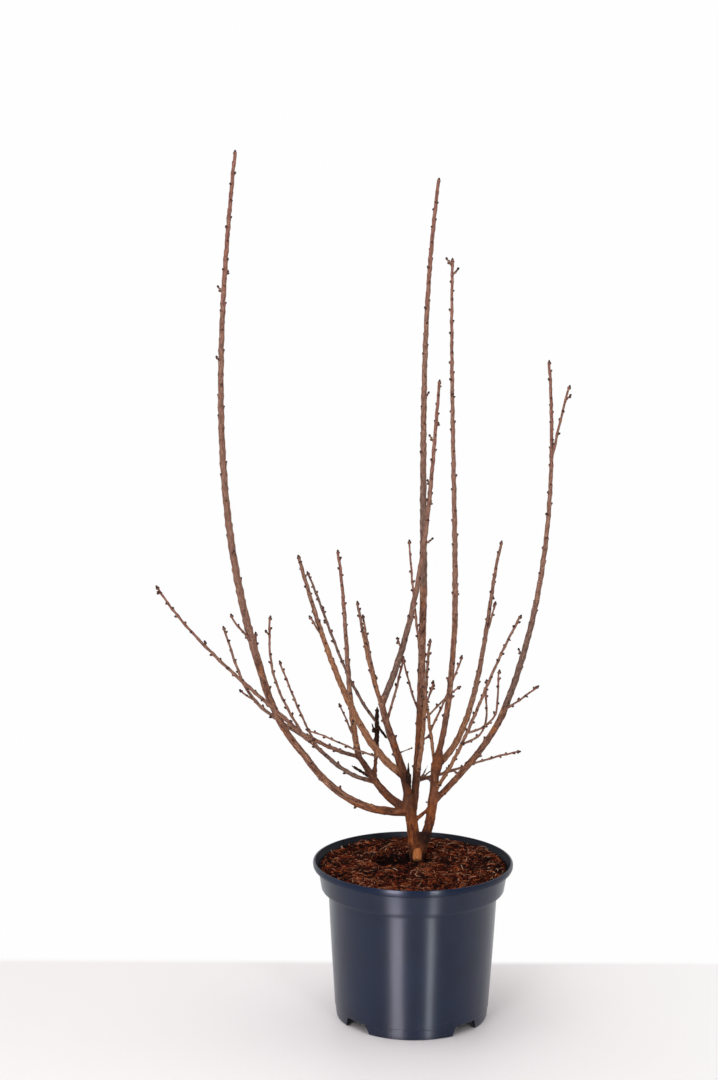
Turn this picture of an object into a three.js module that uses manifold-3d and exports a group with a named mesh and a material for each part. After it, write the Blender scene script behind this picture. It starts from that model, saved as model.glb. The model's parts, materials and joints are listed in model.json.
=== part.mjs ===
// Nanking cherry in a plastic nursery pot, bare in winter.
// A short forked trunk stands in a pot of coir compost. Boughs fork from it, and long whips with
// alternate buds rise from the boughs. Millimetres, +Z up, seen from the front along +Y. The origin
// is the centre of the pot's flat underside, on the ground.

import * as THREE from 'three';
import * as BufferGeometryUtils from 'three/addons/utils/BufferGeometryUtils.js';
import Module from 'manifold-3d';

const wasm = await Module();
wasm.setup();

// Driving dimensions of the pot
const POT_HEIGHT = 148;
const LIP_RADIUS = 93;
const LIP_DEPTH = 7;
const BAND_TOP_RADIUS = 88;
const BAND_BOTTOM_RADIUS = 85;
const BAND_BOTTOM = 122;
const BODY_TOP_RADIUS = 78.5;
const FLOOR_RADIUS = 71;
const WALL = 1.6;
const EDGE_ROUND = 1;
const PAD_RADIUS = 46;
const SKIRT = 3;
const CHANNEL_HEIGHT = 9;
const NOTCH_COUNT = 4;
const NOTCH_FIRST_ANGLE = 43;
const NOTCH_BOTTOM_WIDTH = 31;
const NOTCH_TOP_WIDTH = 24;
const DRAIN_COUNT = 8;
const DRAIN_RADIUS = 4.5;
const DRAIN_FACETS = 12;
const POT_FACETS = 36;

// Driving dimensions of the compost
const SOIL_EDGE = 139.5;
const SOIL_GROUND = 144;
const SOIL_LUMP = 1.4;
const SOIL_FALL = 3.2;
const SOIL_RINGS = [0.84, 0.66, 0.48, 0.3, 0.14];
const SOIL_SEED = 11;
const FOOT_PAD_RADIUS = 13;
const HOLLOW = { x: -13, y: -14, radius: 17, depth: 6 };

// Driving dimensions of the plant
const GAP = 0.3;
const TRUNK_FOOT = [4, 12];
const GROUND_CUT = SOIL_GROUND + GAP;
// Ridges that flare from the foot: turn round it, spread, height on the trunk, and width
const ROOT_TOES = [
  { turn: -100, spread: 5, height: 15, width: 9 },
  { turn: 20, spread: 7, height: 11, width: 7 },
  { turn: 95, spread: 7, height: 13, width: 7 },
  { turn: 175, spread: 6, height: 10, width: 7 },
];
const CUT_STUB = { from: [4.5, 11, 158], to: [4, 3, 148], widths: [8, 9] };
const BUD_PITCH = 30;
const BUD_LENGTH = 4.4;
const BUD_WIDTH = 2.5;
const BUD_TURN = 144;
const BARE_FOOT = 11;
const BUD_SEAT = 0.55;
const END_BUD = 1.15;
const SPUR_LENGTH = 5;
const SPUR_WIDTHS = [1.9, 1.5];
const SPUR_CHANCE = 0.1;
const CLEARANCE = 0.6;
const RING_PITCH = 22;
const ROOT_TOE_DEPTH = 4;
const FIRST_SEED = 100;

// Colours of the pieces
const POT_LOOK = { color: 0x2e3646, roughness: 0.42, metalness: 0 };
const SOIL_LOOK = { color: 0x5a2f1c, roughness: 0.95, metalness: 0 };
const OLD_BARK_LOOK = { color: 0x6e5041, roughness: 0.85, metalness: 0 };
const YOUNG_BARK_LOOK = { color: 0x7d5445, roughness: 0.7, metalness: 0 };
const DEAD_WOOD_LOOK = { color: 0x2a211d, roughness: 0.9, metalness: 0 };

// Each limb is one cubic curve. It starts on its parent, at a fraction of the parent's length, heads
// for a first point, comes in past a second one and ends at its tip. Widths are the diameters at its
// two ends.
const LIMBS = {};
function limb(name, parent, at, leaving, arriving, tip, widths) {
  LIMBS[name] = { parent, at, leaving, arriving, tip, widths };
}

// The forked foot
limb('stem_left', null, 0, [2, 12, 160], [0, 12, 176], [-4, 12, 197], [13, 10]);
limb('stem_right', 'stem_left', 0.12, [9, 12, 154], [9, 12, 162], [12, 12, 168], [11, 10]);

// Boughs
limb('left_low', 'stem_left', 0.9, [-44, 10, 186], [-79, 4, 212], [-101, 5, 246], [7.8, 7]);
limb('left_rise', 'left_low', 1, [-123, 4, 270], [-135, 6, 298], [-143, 9, 329], [6.9, 6.7]);
limb('left_fork', 'stem_left', 0.92, [-27, 20, 199], [-37, 33, 219], [-51, 21, 241], [9, 4.8]);
limb('middle', 'stem_left', 0.98, [-6, 14, 230], [-23, 14, 260], [-30, 14, 293], [8.4, 5.4]);
limb('centre', 'stem_left', 0.72, [8, 31, 246], [7, 48, 321], [9, 58, 389], [7.4, 5]);
limb('right', 'stem_right', 1, [20, 12, 193], [19, 12, 212], [20, 12, 237], [9.6, 7.4]);
limb('right_inner', 'right', 1, [32, -1, 279], [33, -14, 331], [35, -25, 375], [5.8, 4.8]);
limb('right_arc', 'right', 0.465, [41, 13, 223], [69, 20, 252], [82, 24, 280], [5.8, 4.8]);
limb('dead_stub', 'left_fork', 0.625, [-34, 33, 239], [-34, 37, 260], [-34, 42, 281], [4.8, 3.6]);

// Whips on the left
limb('left_whip', 'left_rise', 1, [-192, 26, 480], [-182, 40, 640], [-166, 40, 796], [6.6, 2.2]);
limb('left_whip_side', 'left_whip', 0.04, [-154, 7, 360], [-163, 2, 366], [-168, -3, 379], [2.2, 1.6]);
limb('left_whip_spur', 'left_whip', 0.025, [-146, 15, 345], [-146, 18, 350], [-147, 22, 357], [2.2, 1.8]);
limb('low_sweep', 'left_fork', 0.58, [-70, 40, 217], [-79, 42, 238], [-107, 52, 255], [4.6, 3.6]);
limb('low_sweep_tip', 'low_sweep', 1, [-162, 65, 284], [-160, 65, 295], [-180, 74, 352], [3.5, 1.7]);
limb('low_spur', 'low_sweep_tip', 0.415, [-155, 59, 288], [-159, 57, 291], [-163, 53, 296], [1.8, 1.5]);
limb('low_twig', 'low_sweep', 0.74, [-104, 63, 263], [-116, 75, 290], [-127, 88, 316], [2, 1.6]);
limb('front_sweep', 'left_fork', 1, [-72, 8, 249], [-87, -3, 260], [-106, -15, 274], [4.2, 3.6]);
limb('front_sweep_tip', 'front_sweep', 1, [-144, -42, 317], [-199, -60, 364], [-229, -72, 417], [3.5, 1.7]);
limb('front_twig', 'front_sweep', 0.95, [-126, -27, 314], [-135, -30, 334], [-131, -38, 384], [2.2, 1.7]);
limb('back_left', 'left_fork', 1, [-64, 61, 293], [-62, 76, 360], [-72, 93, 423], [4.4, 1.9]);
limb('back_left_twig', 'back_left', 0.085, [-60, 28, 267], [-64, 23, 279], [-69, 18, 291], [1.7, 1.3]);
limb('front_left', 'middle', 0.31, [-55, -14, 256], [-90, -49, 385], [-105, -66, 444], [5, 1.9]);
limb('front_left_twig', 'front_left', 0.12, [-53, -9, 252], [-74, -17, 268], [-98, -22, 277], [1.7, 1.3]);
limb('front_left_spur', 'front_left', 0.68, [-89, -49, 376], [-91, -54, 382], [-95, -60, 389], [1.9, 1.6]);
limb('stub_whip', 'dead_stub', 0.815, [-65, 60, 301], [-81, 88, 358], [-101, 105, 400], [2.8, 1.8]);

// Whips in the middle
limb('middle_top', 'middle', 1, [-42, 21, 322], [-47, 28, 353], [-53, 36, 384], [3.6, 1.7]);
limb('middle_twig', 'middle_top', 0.095, [-39, 6, 328], [-44, -3, 354], [-48, -14, 381], [2.6, 1.7]);
limb('middle_spur', 'middle', 0.825, [-19, 22, 294], [-14, 29, 313], [-10, 36, 332], [2.3, 1.7]);
limb('middle_whip', 'middle', 1, [11, 35, 384], [13, 36, 490], [21, 40, 590], [4.4, 1.8]);
limb('middle_whip_spur', 'middle_whip', 0.18, [-14, 19, 347], [-15, 15, 352], [-16, 10, 356], [1.8, 1.5]);
limb('centre_whip', 'centre', 1, [8, 76, 516], [4, 86, 645], [20, 90, 773], [4.9, 2.2]);
limb('centre_spur', 'centre', 0.47, [-2, 43, 295], [-5, 46, 309], [-9, 50, 327], [2, 1.5]);
limb('centre_low', 'centre', 0.18, [12, 23, 263], [9, 17, 309], [14, 10, 354], [4, 1.8]);
limb('centre_low_twig', 'centre_low', 0.495, [12, 14, 295], [15, 10, 305], [17, 6, 316], [1.8, 1.5]);
limb('centre_side', 'centre', 0.175, [37, 36, 222], [68, 51, 233], [102, 66, 235], [2.6, 1.5]);

// Whips on the right
limb('right_whip', 'right_inner', 1, [34, -51, 482], [26, -60, 592], [27, -64, 703], [4.7, 1.9]);
limb('right_thin', 'right', 0.96, [10, 0, 308], [-2, -19, 380], [-7, -34, 453], [3, 1.6]);
limb('right_thin_high', 'right_thin', 0.23, [22, 9, 294], [31, 14, 302], [42, 20, 308], [1.7, 1.4]);
limb('right_thin_low', 'right_thin', 0.16, [26, 17, 291], [36, 22, 311], [44, 28, 335], [1.9, 1.5]);
limb('right_back', 'right', 0.97, [66, 40, 257], [69, 85, 377], [84, 98, 432], [4.6, 1.8]);
limb('right_back_spur', 'right_back', 0.61, [73, 71, 359], [75, 69, 368], [77, 66, 379], [1.8, 1.5]);
limb('right_front', 'right', 0.6, [50, -22, 266], [61, -52, 332], [90, -78, 394], [3.4, 1.7]);
limb('right_front_high', 'right_front', 0.305, [74, -28, 276], [62, -26, 296], [64, -30, 325], [1.9, 1.5]);
limb('right_front_low', 'right_front', 0.37, [81, -44, 290], [71, -44, 305], [74, -52, 339], [1.9, 1.5]);
limb('arc_whip', 'right_arc', 1, [125, 43, 383], [131, 48, 496], [123, 60, 607], [4.7, 1.9]);
limb('arc_whip_twig', 'arc_whip', 0.735, [131, 47, 541], [134, 43, 564], [140, 38, 586], [2.4, 1.8]);
limb('arc_whip_low', 'arc_whip', 0.015, [93, 16, 294], [103, 8, 303], [113, 2, 313], [1.9, 1.5]);

// Dead snags and stubs, each fused to the limb that it stands on
const SNAGS = {
  left_fork: [{ at: 0.6, tip: [-56, 22, 231], widths: [3.4, 2.6] }],
  middle: [
    { at: 0.42, tip: [-3, 5, 238], widths: [4, 1.8] },
    { at: 0.56, tip: [1, 22, 251], widths: [1.5, 1.2] },
    { at: 0.66, tip: [-13, 7, 262], widths: [2, 1] },
  ],
  right: [
    { at: 0.42, tip: [11, 9, 201], widths: [2.4, 1.2] },
    { at: 0.34, tip: [8.5, 16, 188], widths: [3.4, 2.8] },
  ],
  dead_stub: [{ at: 0.72, tip: [-26.5, 18, 262], widths: [2.8, 2.4] }],
};

// The nodes: the limbs that each one is made of, its main limb first
const BOUGHS = {
  bough_left_low: ['left_low'],
  bough_left_rise: ['left_rise'],
  bough_left_fork: ['left_fork'],
  bough_middle: ['middle'],
  bough_centre: ['centre'],
  bough_right: ['right'],
  bough_right_inner: ['right_inner'],
  bough_right_arc: ['right_arc'],
  dead_stub: ['dead_stub'],
};
const MASSES = {
  whip_left_leader: ['left_whip', 'left_whip_side', 'left_whip_spur'],
  whips_left_low: ['low_sweep', 'low_sweep_tip', 'low_spur', 'low_twig'],
  whips_left_front: ['front_sweep', 'front_sweep_tip', 'front_twig'],
  whips_left_back: ['back_left', 'back_left_twig'],
  whips_front_left: ['front_left', 'front_left_twig', 'front_left_spur'],
  whip_dead_stub: ['stub_whip'],
  whips_middle: ['middle_top', 'middle_twig'],
  whip_middle_spur: ['middle_spur'],
  whip_middle_tall: ['middle_whip', 'middle_whip_spur'],
  whip_centre_leader: ['centre_whip'],
  whip_centre_spur: ['centre_spur'],
  whips_centre_low: ['centre_low', 'centre_low_twig'],
  whip_centre_side: ['centre_side'],
  whip_right_leader: ['right_whip'],
  whips_right_thin: ['right_thin', 'right_thin_high', 'right_thin_low'],
  whips_right_back: ['right_back', 'right_back_spur'],
  whips_right_front: ['right_front', 'right_front_high', 'right_front_low'],
  whips_right_arc: ['arc_whip', 'arc_whip_twig', 'arc_whip_low'],
};

// A closed geometry as a solid that can be joined and cut
function toSolid(geometry) {
  const bare = geometry.clone();
  bare.deleteAttribute('normal');
  bare.deleteAttribute('uv');
  const merged = BufferGeometryUtils.mergeVertices(bare, 1e-4);
  return new wasm.Manifold(new wasm.Mesh({
    numProp: 3,
    vertProperties: new Float32Array(merged.attributes.position.array),
    triVerts: new Uint32Array(merged.index.array),
  }));
}

// A solid as a named mesh with its look
function toMesh(name, solid, look) {
  const { vertProperties, triVerts } = solid.getMesh();
  const geometry = new THREE.BufferGeometry();
  geometry.setAttribute('position', new THREE.BufferAttribute(new Float32Array(vertProperties), 3));
  geometry.setIndex(new THREE.BufferAttribute(new Uint32Array(triVerts), 1));
  geometry.computeVertexNormals();
  const mesh = new THREE.Mesh(geometry, new THREE.MeshStandardMaterial({ ...look, flatShading: true }));
  mesh.name = name;
  return mesh;
}

// The largest body of a solid, so that a cut leaves no loose scrap
function mainBody(solid) {
  const bodies = solid.decompose();
  return bodies.reduce((best, body) => (body.volume() > best.volume() ? body : best));
}

// Random numbers from a seed, the same on every run
function seededRandom(seed) {
  let state = seed >>> 0;
  return () => {
    state = (Math.imul(state, 1664525) + 1013904223) >>> 0;
    return state / 4294967296;
  };
}

// A solid turned round the pot's axis from a closed outline of [radius, height] corners
function turned(outline, facets) {
  const corners = outline.map(([radius, height]) => new THREE.Vector2(radius, height));
  const lathe = new THREE.LatheGeometry(corners, facets);
  lathe.rotateX(Math.PI / 2);
  return toSolid(lathe);
}

// Inner line of the pot, from the middle of its floor to its mouth, set back by a gap
function innerLine(gap) {
  const bottom = WALL + gap;
  return [
    [0, bottom],
    [PAD_RADIUS - WALL - gap, bottom],
    [PAD_RADIUS - gap, CHANNEL_HEIGHT + bottom],
    [FLOOR_RADIUS - WALL - gap, CHANNEL_HEIGHT + bottom],
    [BODY_TOP_RADIUS - WALL - gap, BAND_BOTTOM - EDGE_ROUND + gap],
    [BAND_BOTTOM_RADIUS - WALL - gap, BAND_BOTTOM + WALL + gap],
  ];
}

function makePot() {
  const outer = [
    [0, 0],
    [PAD_RADIUS, 0],
    [PAD_RADIUS + WALL, CHANNEL_HEIGHT],
    [FLOOR_RADIUS - SKIRT, CHANNEL_HEIGHT],
    [FLOOR_RADIUS - SKIRT, 0],
    [FLOOR_RADIUS - EDGE_ROUND, 0],
    [FLOOR_RADIUS, 4 * EDGE_ROUND],
    [BODY_TOP_RADIUS, BAND_BOTTOM - EDGE_ROUND],
    [BAND_BOTTOM_RADIUS, BAND_BOTTOM],
    [BAND_TOP_RADIUS, POT_HEIGHT - LIP_DEPTH],
    [LIP_RADIUS - EDGE_ROUND, POT_HEIGHT - LIP_DEPTH],
    [LIP_RADIUS, POT_HEIGHT - LIP_DEPTH / 2],
    [LIP_RADIUS - EDGE_ROUND, POT_HEIGHT],
  ];
  const inner = innerLine(0).concat([
    [BAND_TOP_RADIUS - WALL, POT_HEIGHT - LIP_DEPTH],
    [LIP_RADIUS - EDGE_ROUND - WALL, POT_HEIGHT],
  ]);
  let pot = turned(outer.concat(inner.reverse()), POT_FACETS);

  // Four notches part the skirt under the floor into four feet
  const inside = FLOOR_RADIUS - 2 * SKIRT;
  const depth = 3 * SKIRT;
  for (let count = 0; count < NOTCH_COUNT; count += 1) {
    const wedge = new THREE.Shape([
      new THREE.Vector2(-NOTCH_BOTTOM_WIDTH / 2, -1),
      new THREE.Vector2(NOTCH_BOTTOM_WIDTH / 2, -1),
      new THREE.Vector2(NOTCH_TOP_WIDTH / 2, CHANNEL_HEIGHT),
      new THREE.Vector2(-NOTCH_TOP_WIDTH / 2, CHANNEL_HEIGHT),
    ]);
    const cutter = new THREE.ExtrudeGeometry(wedge, { depth, bevelEnabled: false });
    cutter.translate(0, 0, inside);
    cutter.rotateX(Math.PI / 2);
    cutter.rotateZ(THREE.MathUtils.degToRad(NOTCH_FIRST_ANGLE + (count * 360) / NOTCH_COUNT));
    pot = pot.subtract(toSolid(cutter));
  }

  // Round drain holes in the raised channel
  const drainCircle = (PAD_RADIUS + FLOOR_RADIUS) / 2;
  for (let count = 0; count < DRAIN_COUNT; count += 1) {
    const hole = new THREE.CylinderGeometry(DRAIN_RADIUS, DRAIN_RADIUS, 3 * WALL, DRAIN_FACETS);
    hole.rotateX(Math.PI / 2);
    hole.translate(drainCircle, 0, CHANNEL_HEIGHT + WALL / 2);
    hole.rotateZ(THREE.MathUtils.degToRad(((count + 0.5) * 360) / DRAIN_COUNT));
    pot = pot.subtract(toSolid(hole));
  }
  return pot;
}

// The compost fills the pot, with a lumpy top that is level only where the trunk is cut off
function makeSoil() {
  const edge = BAND_BOTTOM_RADIUS - WALL - GAP;
  const slope = (BAND_TOP_RADIUS - BAND_BOTTOM_RADIUS) / (POT_HEIGHT - LIP_DEPTH - BAND_BOTTOM);
  const rim = edge + slope * (SOIL_EDGE - BAND_BOTTOM);
  const outline = innerLine(GAP).concat([[rim, SOIL_EDGE]]);
  for (const part of SOIL_RINGS) {
    outline.push([rim * part, SOIL_GROUND]);
  }
  outline.push([0, SOIL_GROUND]);
  const lathe = new THREE.LatheGeometry(outline.map(([x, y]) => new THREE.Vector2(x, y)), POT_FACETS);
  lathe.rotateX(Math.PI / 2);
  lathe.deleteAttribute('normal');
  lathe.deleteAttribute('uv');
  const ground = BufferGeometryUtils.mergeVertices(lathe, 1e-4);
  const position = ground.attributes.position;
  const random = seededRandom(SOIL_SEED);
  for (let index = 0; index < position.count; index += 1) {
    const lump = (random() - 0.5) * 2 * SOIL_LUMP;
    const x = position.getX(index);
    const y = position.getY(index);
    const fromFoot = Math.hypot(x - TRUNK_FOOT[0], y - TRUNK_FOOT[1]);
    if (position.getZ(index) < SOIL_EDGE + 1 || fromFoot < FOOT_PAD_RADIUS) continue;
    const fromHollow = Math.hypot(x - HOLLOW.x, y - HOLLOW.y) / HOLLOW.radius;
    const dip = fromHollow < 1 ? HOLLOW.depth * (1 - fromHollow * fromHollow) : 0;
    const fall = SOIL_FALL * Math.max(0, Math.hypot(x, y) / rim - SOIL_RINGS[3]);
    const height = SOIL_GROUND - fall - dip + lump;
    position.setZ(index, fromFoot < 3 * FOOT_PAD_RADIUS ? Math.min(height, SOIL_GROUND) : height);
  }
  return toSolid(ground);
}

// The curve of a limb, from the curve of its parent
const curves = {};
for (const [name, { parent, at, leaving, arriving, tip }] of Object.entries(LIMBS)) {
  curves[name] = new THREE.CubicBezierCurve3(
    parent ? curves[parent].getPointAt(at) : new THREE.Vector3(...TRUNK_FOOT, GROUND_CUT),
    new THREE.Vector3(...leaving),
    new THREE.Vector3(...arriving),
    new THREE.Vector3(...tip),
  );
}

// Radius of a limb at a fraction of its length
function radiusAt(widths, along) {
  return THREE.MathUtils.lerp(widths[0], widths[1], along) / 2;
}

// How many sides a limb has, from the width of its thick end
function sidesFor(width) {
  if (width > 6) return 8;
  return width > 3.4 ? 6 : 4;
}

// A tapering tube: a closed cylinder bent along a curve, ring by ring. The extra makes it larger all
// round and at both ends.
function taperedTube(curve, widths, extra = 0) {
  const sides = sidesFor(widths[0]);
  const steps = Math.max(2, Math.round(curve.getLength() / RING_PITCH) + 1);
  const tube = new THREE.CylinderGeometry(1, 1, 1, sides, steps);
  const { tangents, normals, binormals } = curve.computeFrenetFrames(steps, false);
  const position = tube.attributes.position;
  for (let index = 0; index < position.count; index += 1) {
    const ring = Math.round((position.getY(index) + 0.5) * steps);
    const along = ring / steps;
    const radius = radiusAt(widths, along) + extra;
    const past = { 0: -extra, [steps]: extra }[ring] ?? 0;
    const point = curve.getPointAt(along)
      .addScaledVector(tangents[ring], past)
      .addScaledVector(normals[ring], radius * position.getX(index))
      .addScaledVector(binormals[ring], -radius * position.getZ(index));
    position.setXYZ(index, point.x, point.y, point.z);
  }
  return toSolid(tube);
}

// A direction across a limb, turned by an angle in degrees round it
function across(tangent, degrees) {
  const first = new THREE.Vector3().crossVectors(tangent, new THREE.Vector3(0, 1, 0)).normalize();
  const second = new THREE.Vector3().crossVectors(tangent, first);
  const angle = THREE.MathUtils.degToRad(degrees);
  return first.multiplyScalar(Math.cos(angle)).addScaledVector(second, Math.sin(angle));
}

// A pointed bud on three faces, its root sunk into the wood
function makeBud(root, direction, size) {
  const bud = new THREE.ConeGeometry((BUD_WIDTH / 2) * size, BUD_LENGTH * size, 3);
  bud.translate(0, (BUD_LENGTH * size) / 2, 0);
  bud.applyQuaternion(new THREE.Quaternion().setFromUnitVectors(new THREE.Vector3(0, 1, 0), direction));
  bud.translate(root.x, root.y, root.z);
  return toSolid(bud);
}

// Points along every limb, which new growth has to keep clear of
const wood = [];
for (const [name, curve] of Object.entries(curves)) {
  const count = Math.ceil(curve.getLength() / 4);
  for (let step = 0; step <= count; step += 1) {
    const along = step / count;
    wood.push({ name, point: curve.getPointAt(along), radius: radiusAt(LIMBS[name].widths, along) });
  }
}

function isClear(point, reach, ownLimb) {
  return wood.every(({ name, point: other, radius }) => (
    name === ownLimb || other.distanceTo(point) > radius + reach + CLEARANCE
  ));
}

// The seeded rule of growth: buds stand round a limb in turn, one at each node, now and then on a
// short spur, and every limb ends in a bud. What would touch another limb is skipped.
function grow(name, solid, random) {
  const curve = curves[name];
  const length = curve.getLength();
  const { widths } = LIMBS[name];
  let grown = solid;
  let angle = random() * 360;
  let distance = BARE_FOOT + random() * BUD_PITCH * 0.5;
  while (distance < length - BUD_PITCH * 0.4) {
    const along = distance / length;
    const radius = radiusAt(widths, along);
    const tangent = curve.getTangentAt(along);
    const outward = across(tangent, angle);
    const size = 0.8 + 0.3 * random();
    const onSpur = random() < SPUR_CHANCE;
    const direction = outward.clone().multiplyScalar(0.75).addScaledVector(tangent, 0.66).normalize();
    const axis = curve.getPointAt(along);
    const root = axis.clone().addScaledVector(outward, radius * BUD_SEAT);
    if (onSpur) root.addScaledVector(direction, SPUR_LENGTH);
    const tip = root.clone().addScaledVector(direction, BUD_LENGTH);
    if (isClear(tip, BUD_WIDTH / 2, name) && isClear(root, BUD_WIDTH / 2, name)) {
      if (onSpur) grown = grown.add(taperedTube(new THREE.LineCurve3(axis, root), SPUR_WIDTHS));
      grown = grown.add(makeBud(root, direction, size));
    }
    angle += BUD_TURN;
    distance += BUD_PITCH * (0.75 + 0.5 * random());
  }
  const end = curve.getTangentAt(1);
  const last = curve.getPointAt(1).addScaledVector(end, -BUD_LENGTH * 0.3);
  return grown.add(makeBud(last, end, END_BUD));
}

// The straight curve of a snag, from the middle of its limb to its broken end
function snagCurve(limb, snag) {
  return new THREE.LineCurve3(curves[limb].getPointAt(snag.at), new THREE.Vector3(...snag.tip));
}

// A node's limbs and snags joined, or the same shape grown by the gap, to cut its neighbours with
function joinLimbs(names, extra) {
  let solid = null;
  for (const name of names) {
    const tube = taperedTube(curves[name], LIMBS[name].widths, extra);
    solid = solid ? solid.add(tube) : tube;
    for (const snag of SNAGS[name] ?? []) {
      solid = solid.add(taperedTube(snagCurve(name, snag), snag.widths, extra));
    }
  }
  return solid;
}

// The trunk: a flared foot cut off flat at the ground, with its left and right stems
function makeTrunk(extra) {
  let trunk = joinLimbs(['stem_left', 'stem_right'], extra);
  const [footX, footY] = TRUNK_FOOT;
  for (const { turn, spread, height, width } of ROOT_TOES) {
    const angle = THREE.MathUtils.degToRad(turn);
    const toe = new THREE.Vector3(
      footX + spread * Math.cos(angle),
      footY + spread * Math.sin(angle),
      GROUND_CUT - ROOT_TOE_DEPTH,
    );
    const root = new THREE.LineCurve3(new THREE.Vector3(footX, footY, GROUND_CUT + height), toe);
    trunk = trunk.add(taperedTube(root, [width * 0.6, width], extra));
  }
  const stub = new THREE.LineCurve3(new THREE.Vector3(...CUT_STUB.from), new THREE.Vector3(...CUT_STUB.to));
  trunk = trunk.add(taperedTube(stub, CUT_STUB.widths, extra));
  const below = new THREE.BoxGeometry(POT_HEIGHT, POT_HEIGHT, POT_HEIGHT);
  below.translate(footX, footY, GROUND_CUT - POT_HEIGHT / 2);
  return trunk.subtract(toSolid(below));
}

const plant = new THREE.Group();
plant.add(toMesh('pot', makePot(), POT_LOOK));
plant.add(toMesh('soil', makeSoil(), SOIL_LOOK));

const trunk = makeTrunk(0);
plant.add(toMesh('trunk', mainBody(trunk), OLD_BARK_LOOK));
const neighbours = [makeTrunk(GAP)];

// Each node is cut clear of the nodes made before it, so that it meets its parent across the gap
for (const [name, limbs] of Object.entries(BOUGHS)) {
  let bough = joinLimbs(limbs, 0);
  for (const neighbour of neighbours) bough = bough.subtract(neighbour);
  const look = name === 'dead_stub' ? DEAD_WOOD_LOOK : OLD_BARK_LOOK;
  plant.add(toMesh(name, mainBody(bough), look));
  neighbours.push(joinLimbs(limbs, GAP));
}
let seed = FIRST_SEED;
for (const [name, limbs] of Object.entries(MASSES)) {
  const random = seededRandom(seed);
  seed += 1;
  let mass = joinLimbs(limbs, 0);
  for (const limb of limbs) mass = grow(limb, mass, random);
  for (const neighbour of neighbours) mass = mass.subtract(neighbour);
  plant.add(toMesh(name, mainBody(mass), YOUNG_BARK_LOOK));
  neighbours.push(joinLimbs(limbs, GAP));
}

export default plant;
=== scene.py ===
# %% [markdown]
# # A potted nanking cherry, bare in winter
# This lesson dresses a small fruit bush for the camera. The bush is young: two short stems leave
# the compost together, boughs fork from them, and long whips with winter buds rise from the
# boughs. It stands in a dark plastic nursery pot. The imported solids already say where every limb
# and every wall of the pot is, so each step below makes a finer piece in the same place: the pot
# with its rounded lip, the compost with its fibres, the bark with its relief, and the buds.

# %% Load the frame
import json
import math

import bpy
import numpy as np
from mathutils import Euler, Matrix, Vector, noise
from mathutils.kdtree import KDTree

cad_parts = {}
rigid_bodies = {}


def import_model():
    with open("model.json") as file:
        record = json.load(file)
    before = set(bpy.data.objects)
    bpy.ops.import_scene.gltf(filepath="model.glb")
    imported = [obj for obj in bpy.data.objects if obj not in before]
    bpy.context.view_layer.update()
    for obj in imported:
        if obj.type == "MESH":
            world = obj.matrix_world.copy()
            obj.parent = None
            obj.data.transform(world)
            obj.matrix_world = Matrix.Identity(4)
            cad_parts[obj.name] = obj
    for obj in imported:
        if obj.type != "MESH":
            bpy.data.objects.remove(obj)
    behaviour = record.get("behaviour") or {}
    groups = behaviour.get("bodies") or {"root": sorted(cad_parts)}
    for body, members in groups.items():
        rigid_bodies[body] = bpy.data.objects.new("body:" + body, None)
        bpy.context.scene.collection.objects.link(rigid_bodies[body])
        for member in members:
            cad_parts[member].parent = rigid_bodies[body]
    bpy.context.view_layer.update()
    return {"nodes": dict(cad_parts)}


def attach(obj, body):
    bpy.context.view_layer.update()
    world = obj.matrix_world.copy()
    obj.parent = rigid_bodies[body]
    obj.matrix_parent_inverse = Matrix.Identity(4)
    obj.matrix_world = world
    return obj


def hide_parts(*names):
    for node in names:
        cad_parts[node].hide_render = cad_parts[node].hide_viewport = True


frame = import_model()
bpy.ops.object.select_all(action="DESELECT")
MM = 0.001
print("nodes in the frame:", len(frame["nodes"]))

# %% [markdown]
# ## The camera
# The photograph looks slightly down on the bush from nearly two metres. A camera placed first
# lets every later step be judged in the same view. It could be aimed with a constraint, but plain
# numbers are easier to read and to repeat: a place, a tilt, and a very small turn about its axis.

# %% Camera
CAMERA_PLACE = Vector((-0.052, -1.921, 0.749))
CAMERA_TILT = math.radians(90 - 8.88)
CAMERA_TURN = math.radians(0.35)
bpy.ops.object.camera_add(location=CAMERA_PLACE)
camera = bpy.context.object
camera.name = "studio_camera"
camera.matrix_world = (
    Matrix.Translation(CAMERA_PLACE)
    @ Matrix.Rotation(CAMERA_TILT, 4, "X")
    @ Matrix.Rotation(CAMERA_TURN, 4, "Z")
)
camera.data.sensor_width = 36
camera.data.lens = 71.33
camera.data.clip_start = 0.05
bpy.context.scene.camera = camera
bpy.context.scene.view_settings.view_transform = "Standard"
print("camera lens in mm:", camera.data.lens)

# %% [markdown]
# ## Small helpers for materials
# Every finish here is built from nodes. Most of them need the same few steps: a Principled shader,
# noise at some scale, a ramp of colours and a bump. Writing each node by hand would hide the
# idea under typing, so a few short helpers make them. Colours are given as they look on a screen,
# from 0 to 255, and turned into the linear values that the shader wants.

# %% Material helpers
def colour(red, green, blue):
    """A colour as seen on a screen, as the linear colour that a shader takes."""
    channels = []
    for value in (red, green, blue):
        value = value / 255
        channels.append(value / 12.92 if value <= 0.04045 else ((value + 0.055) / 1.055) ** 2.4)
    return (*channels, 1.0)


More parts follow.
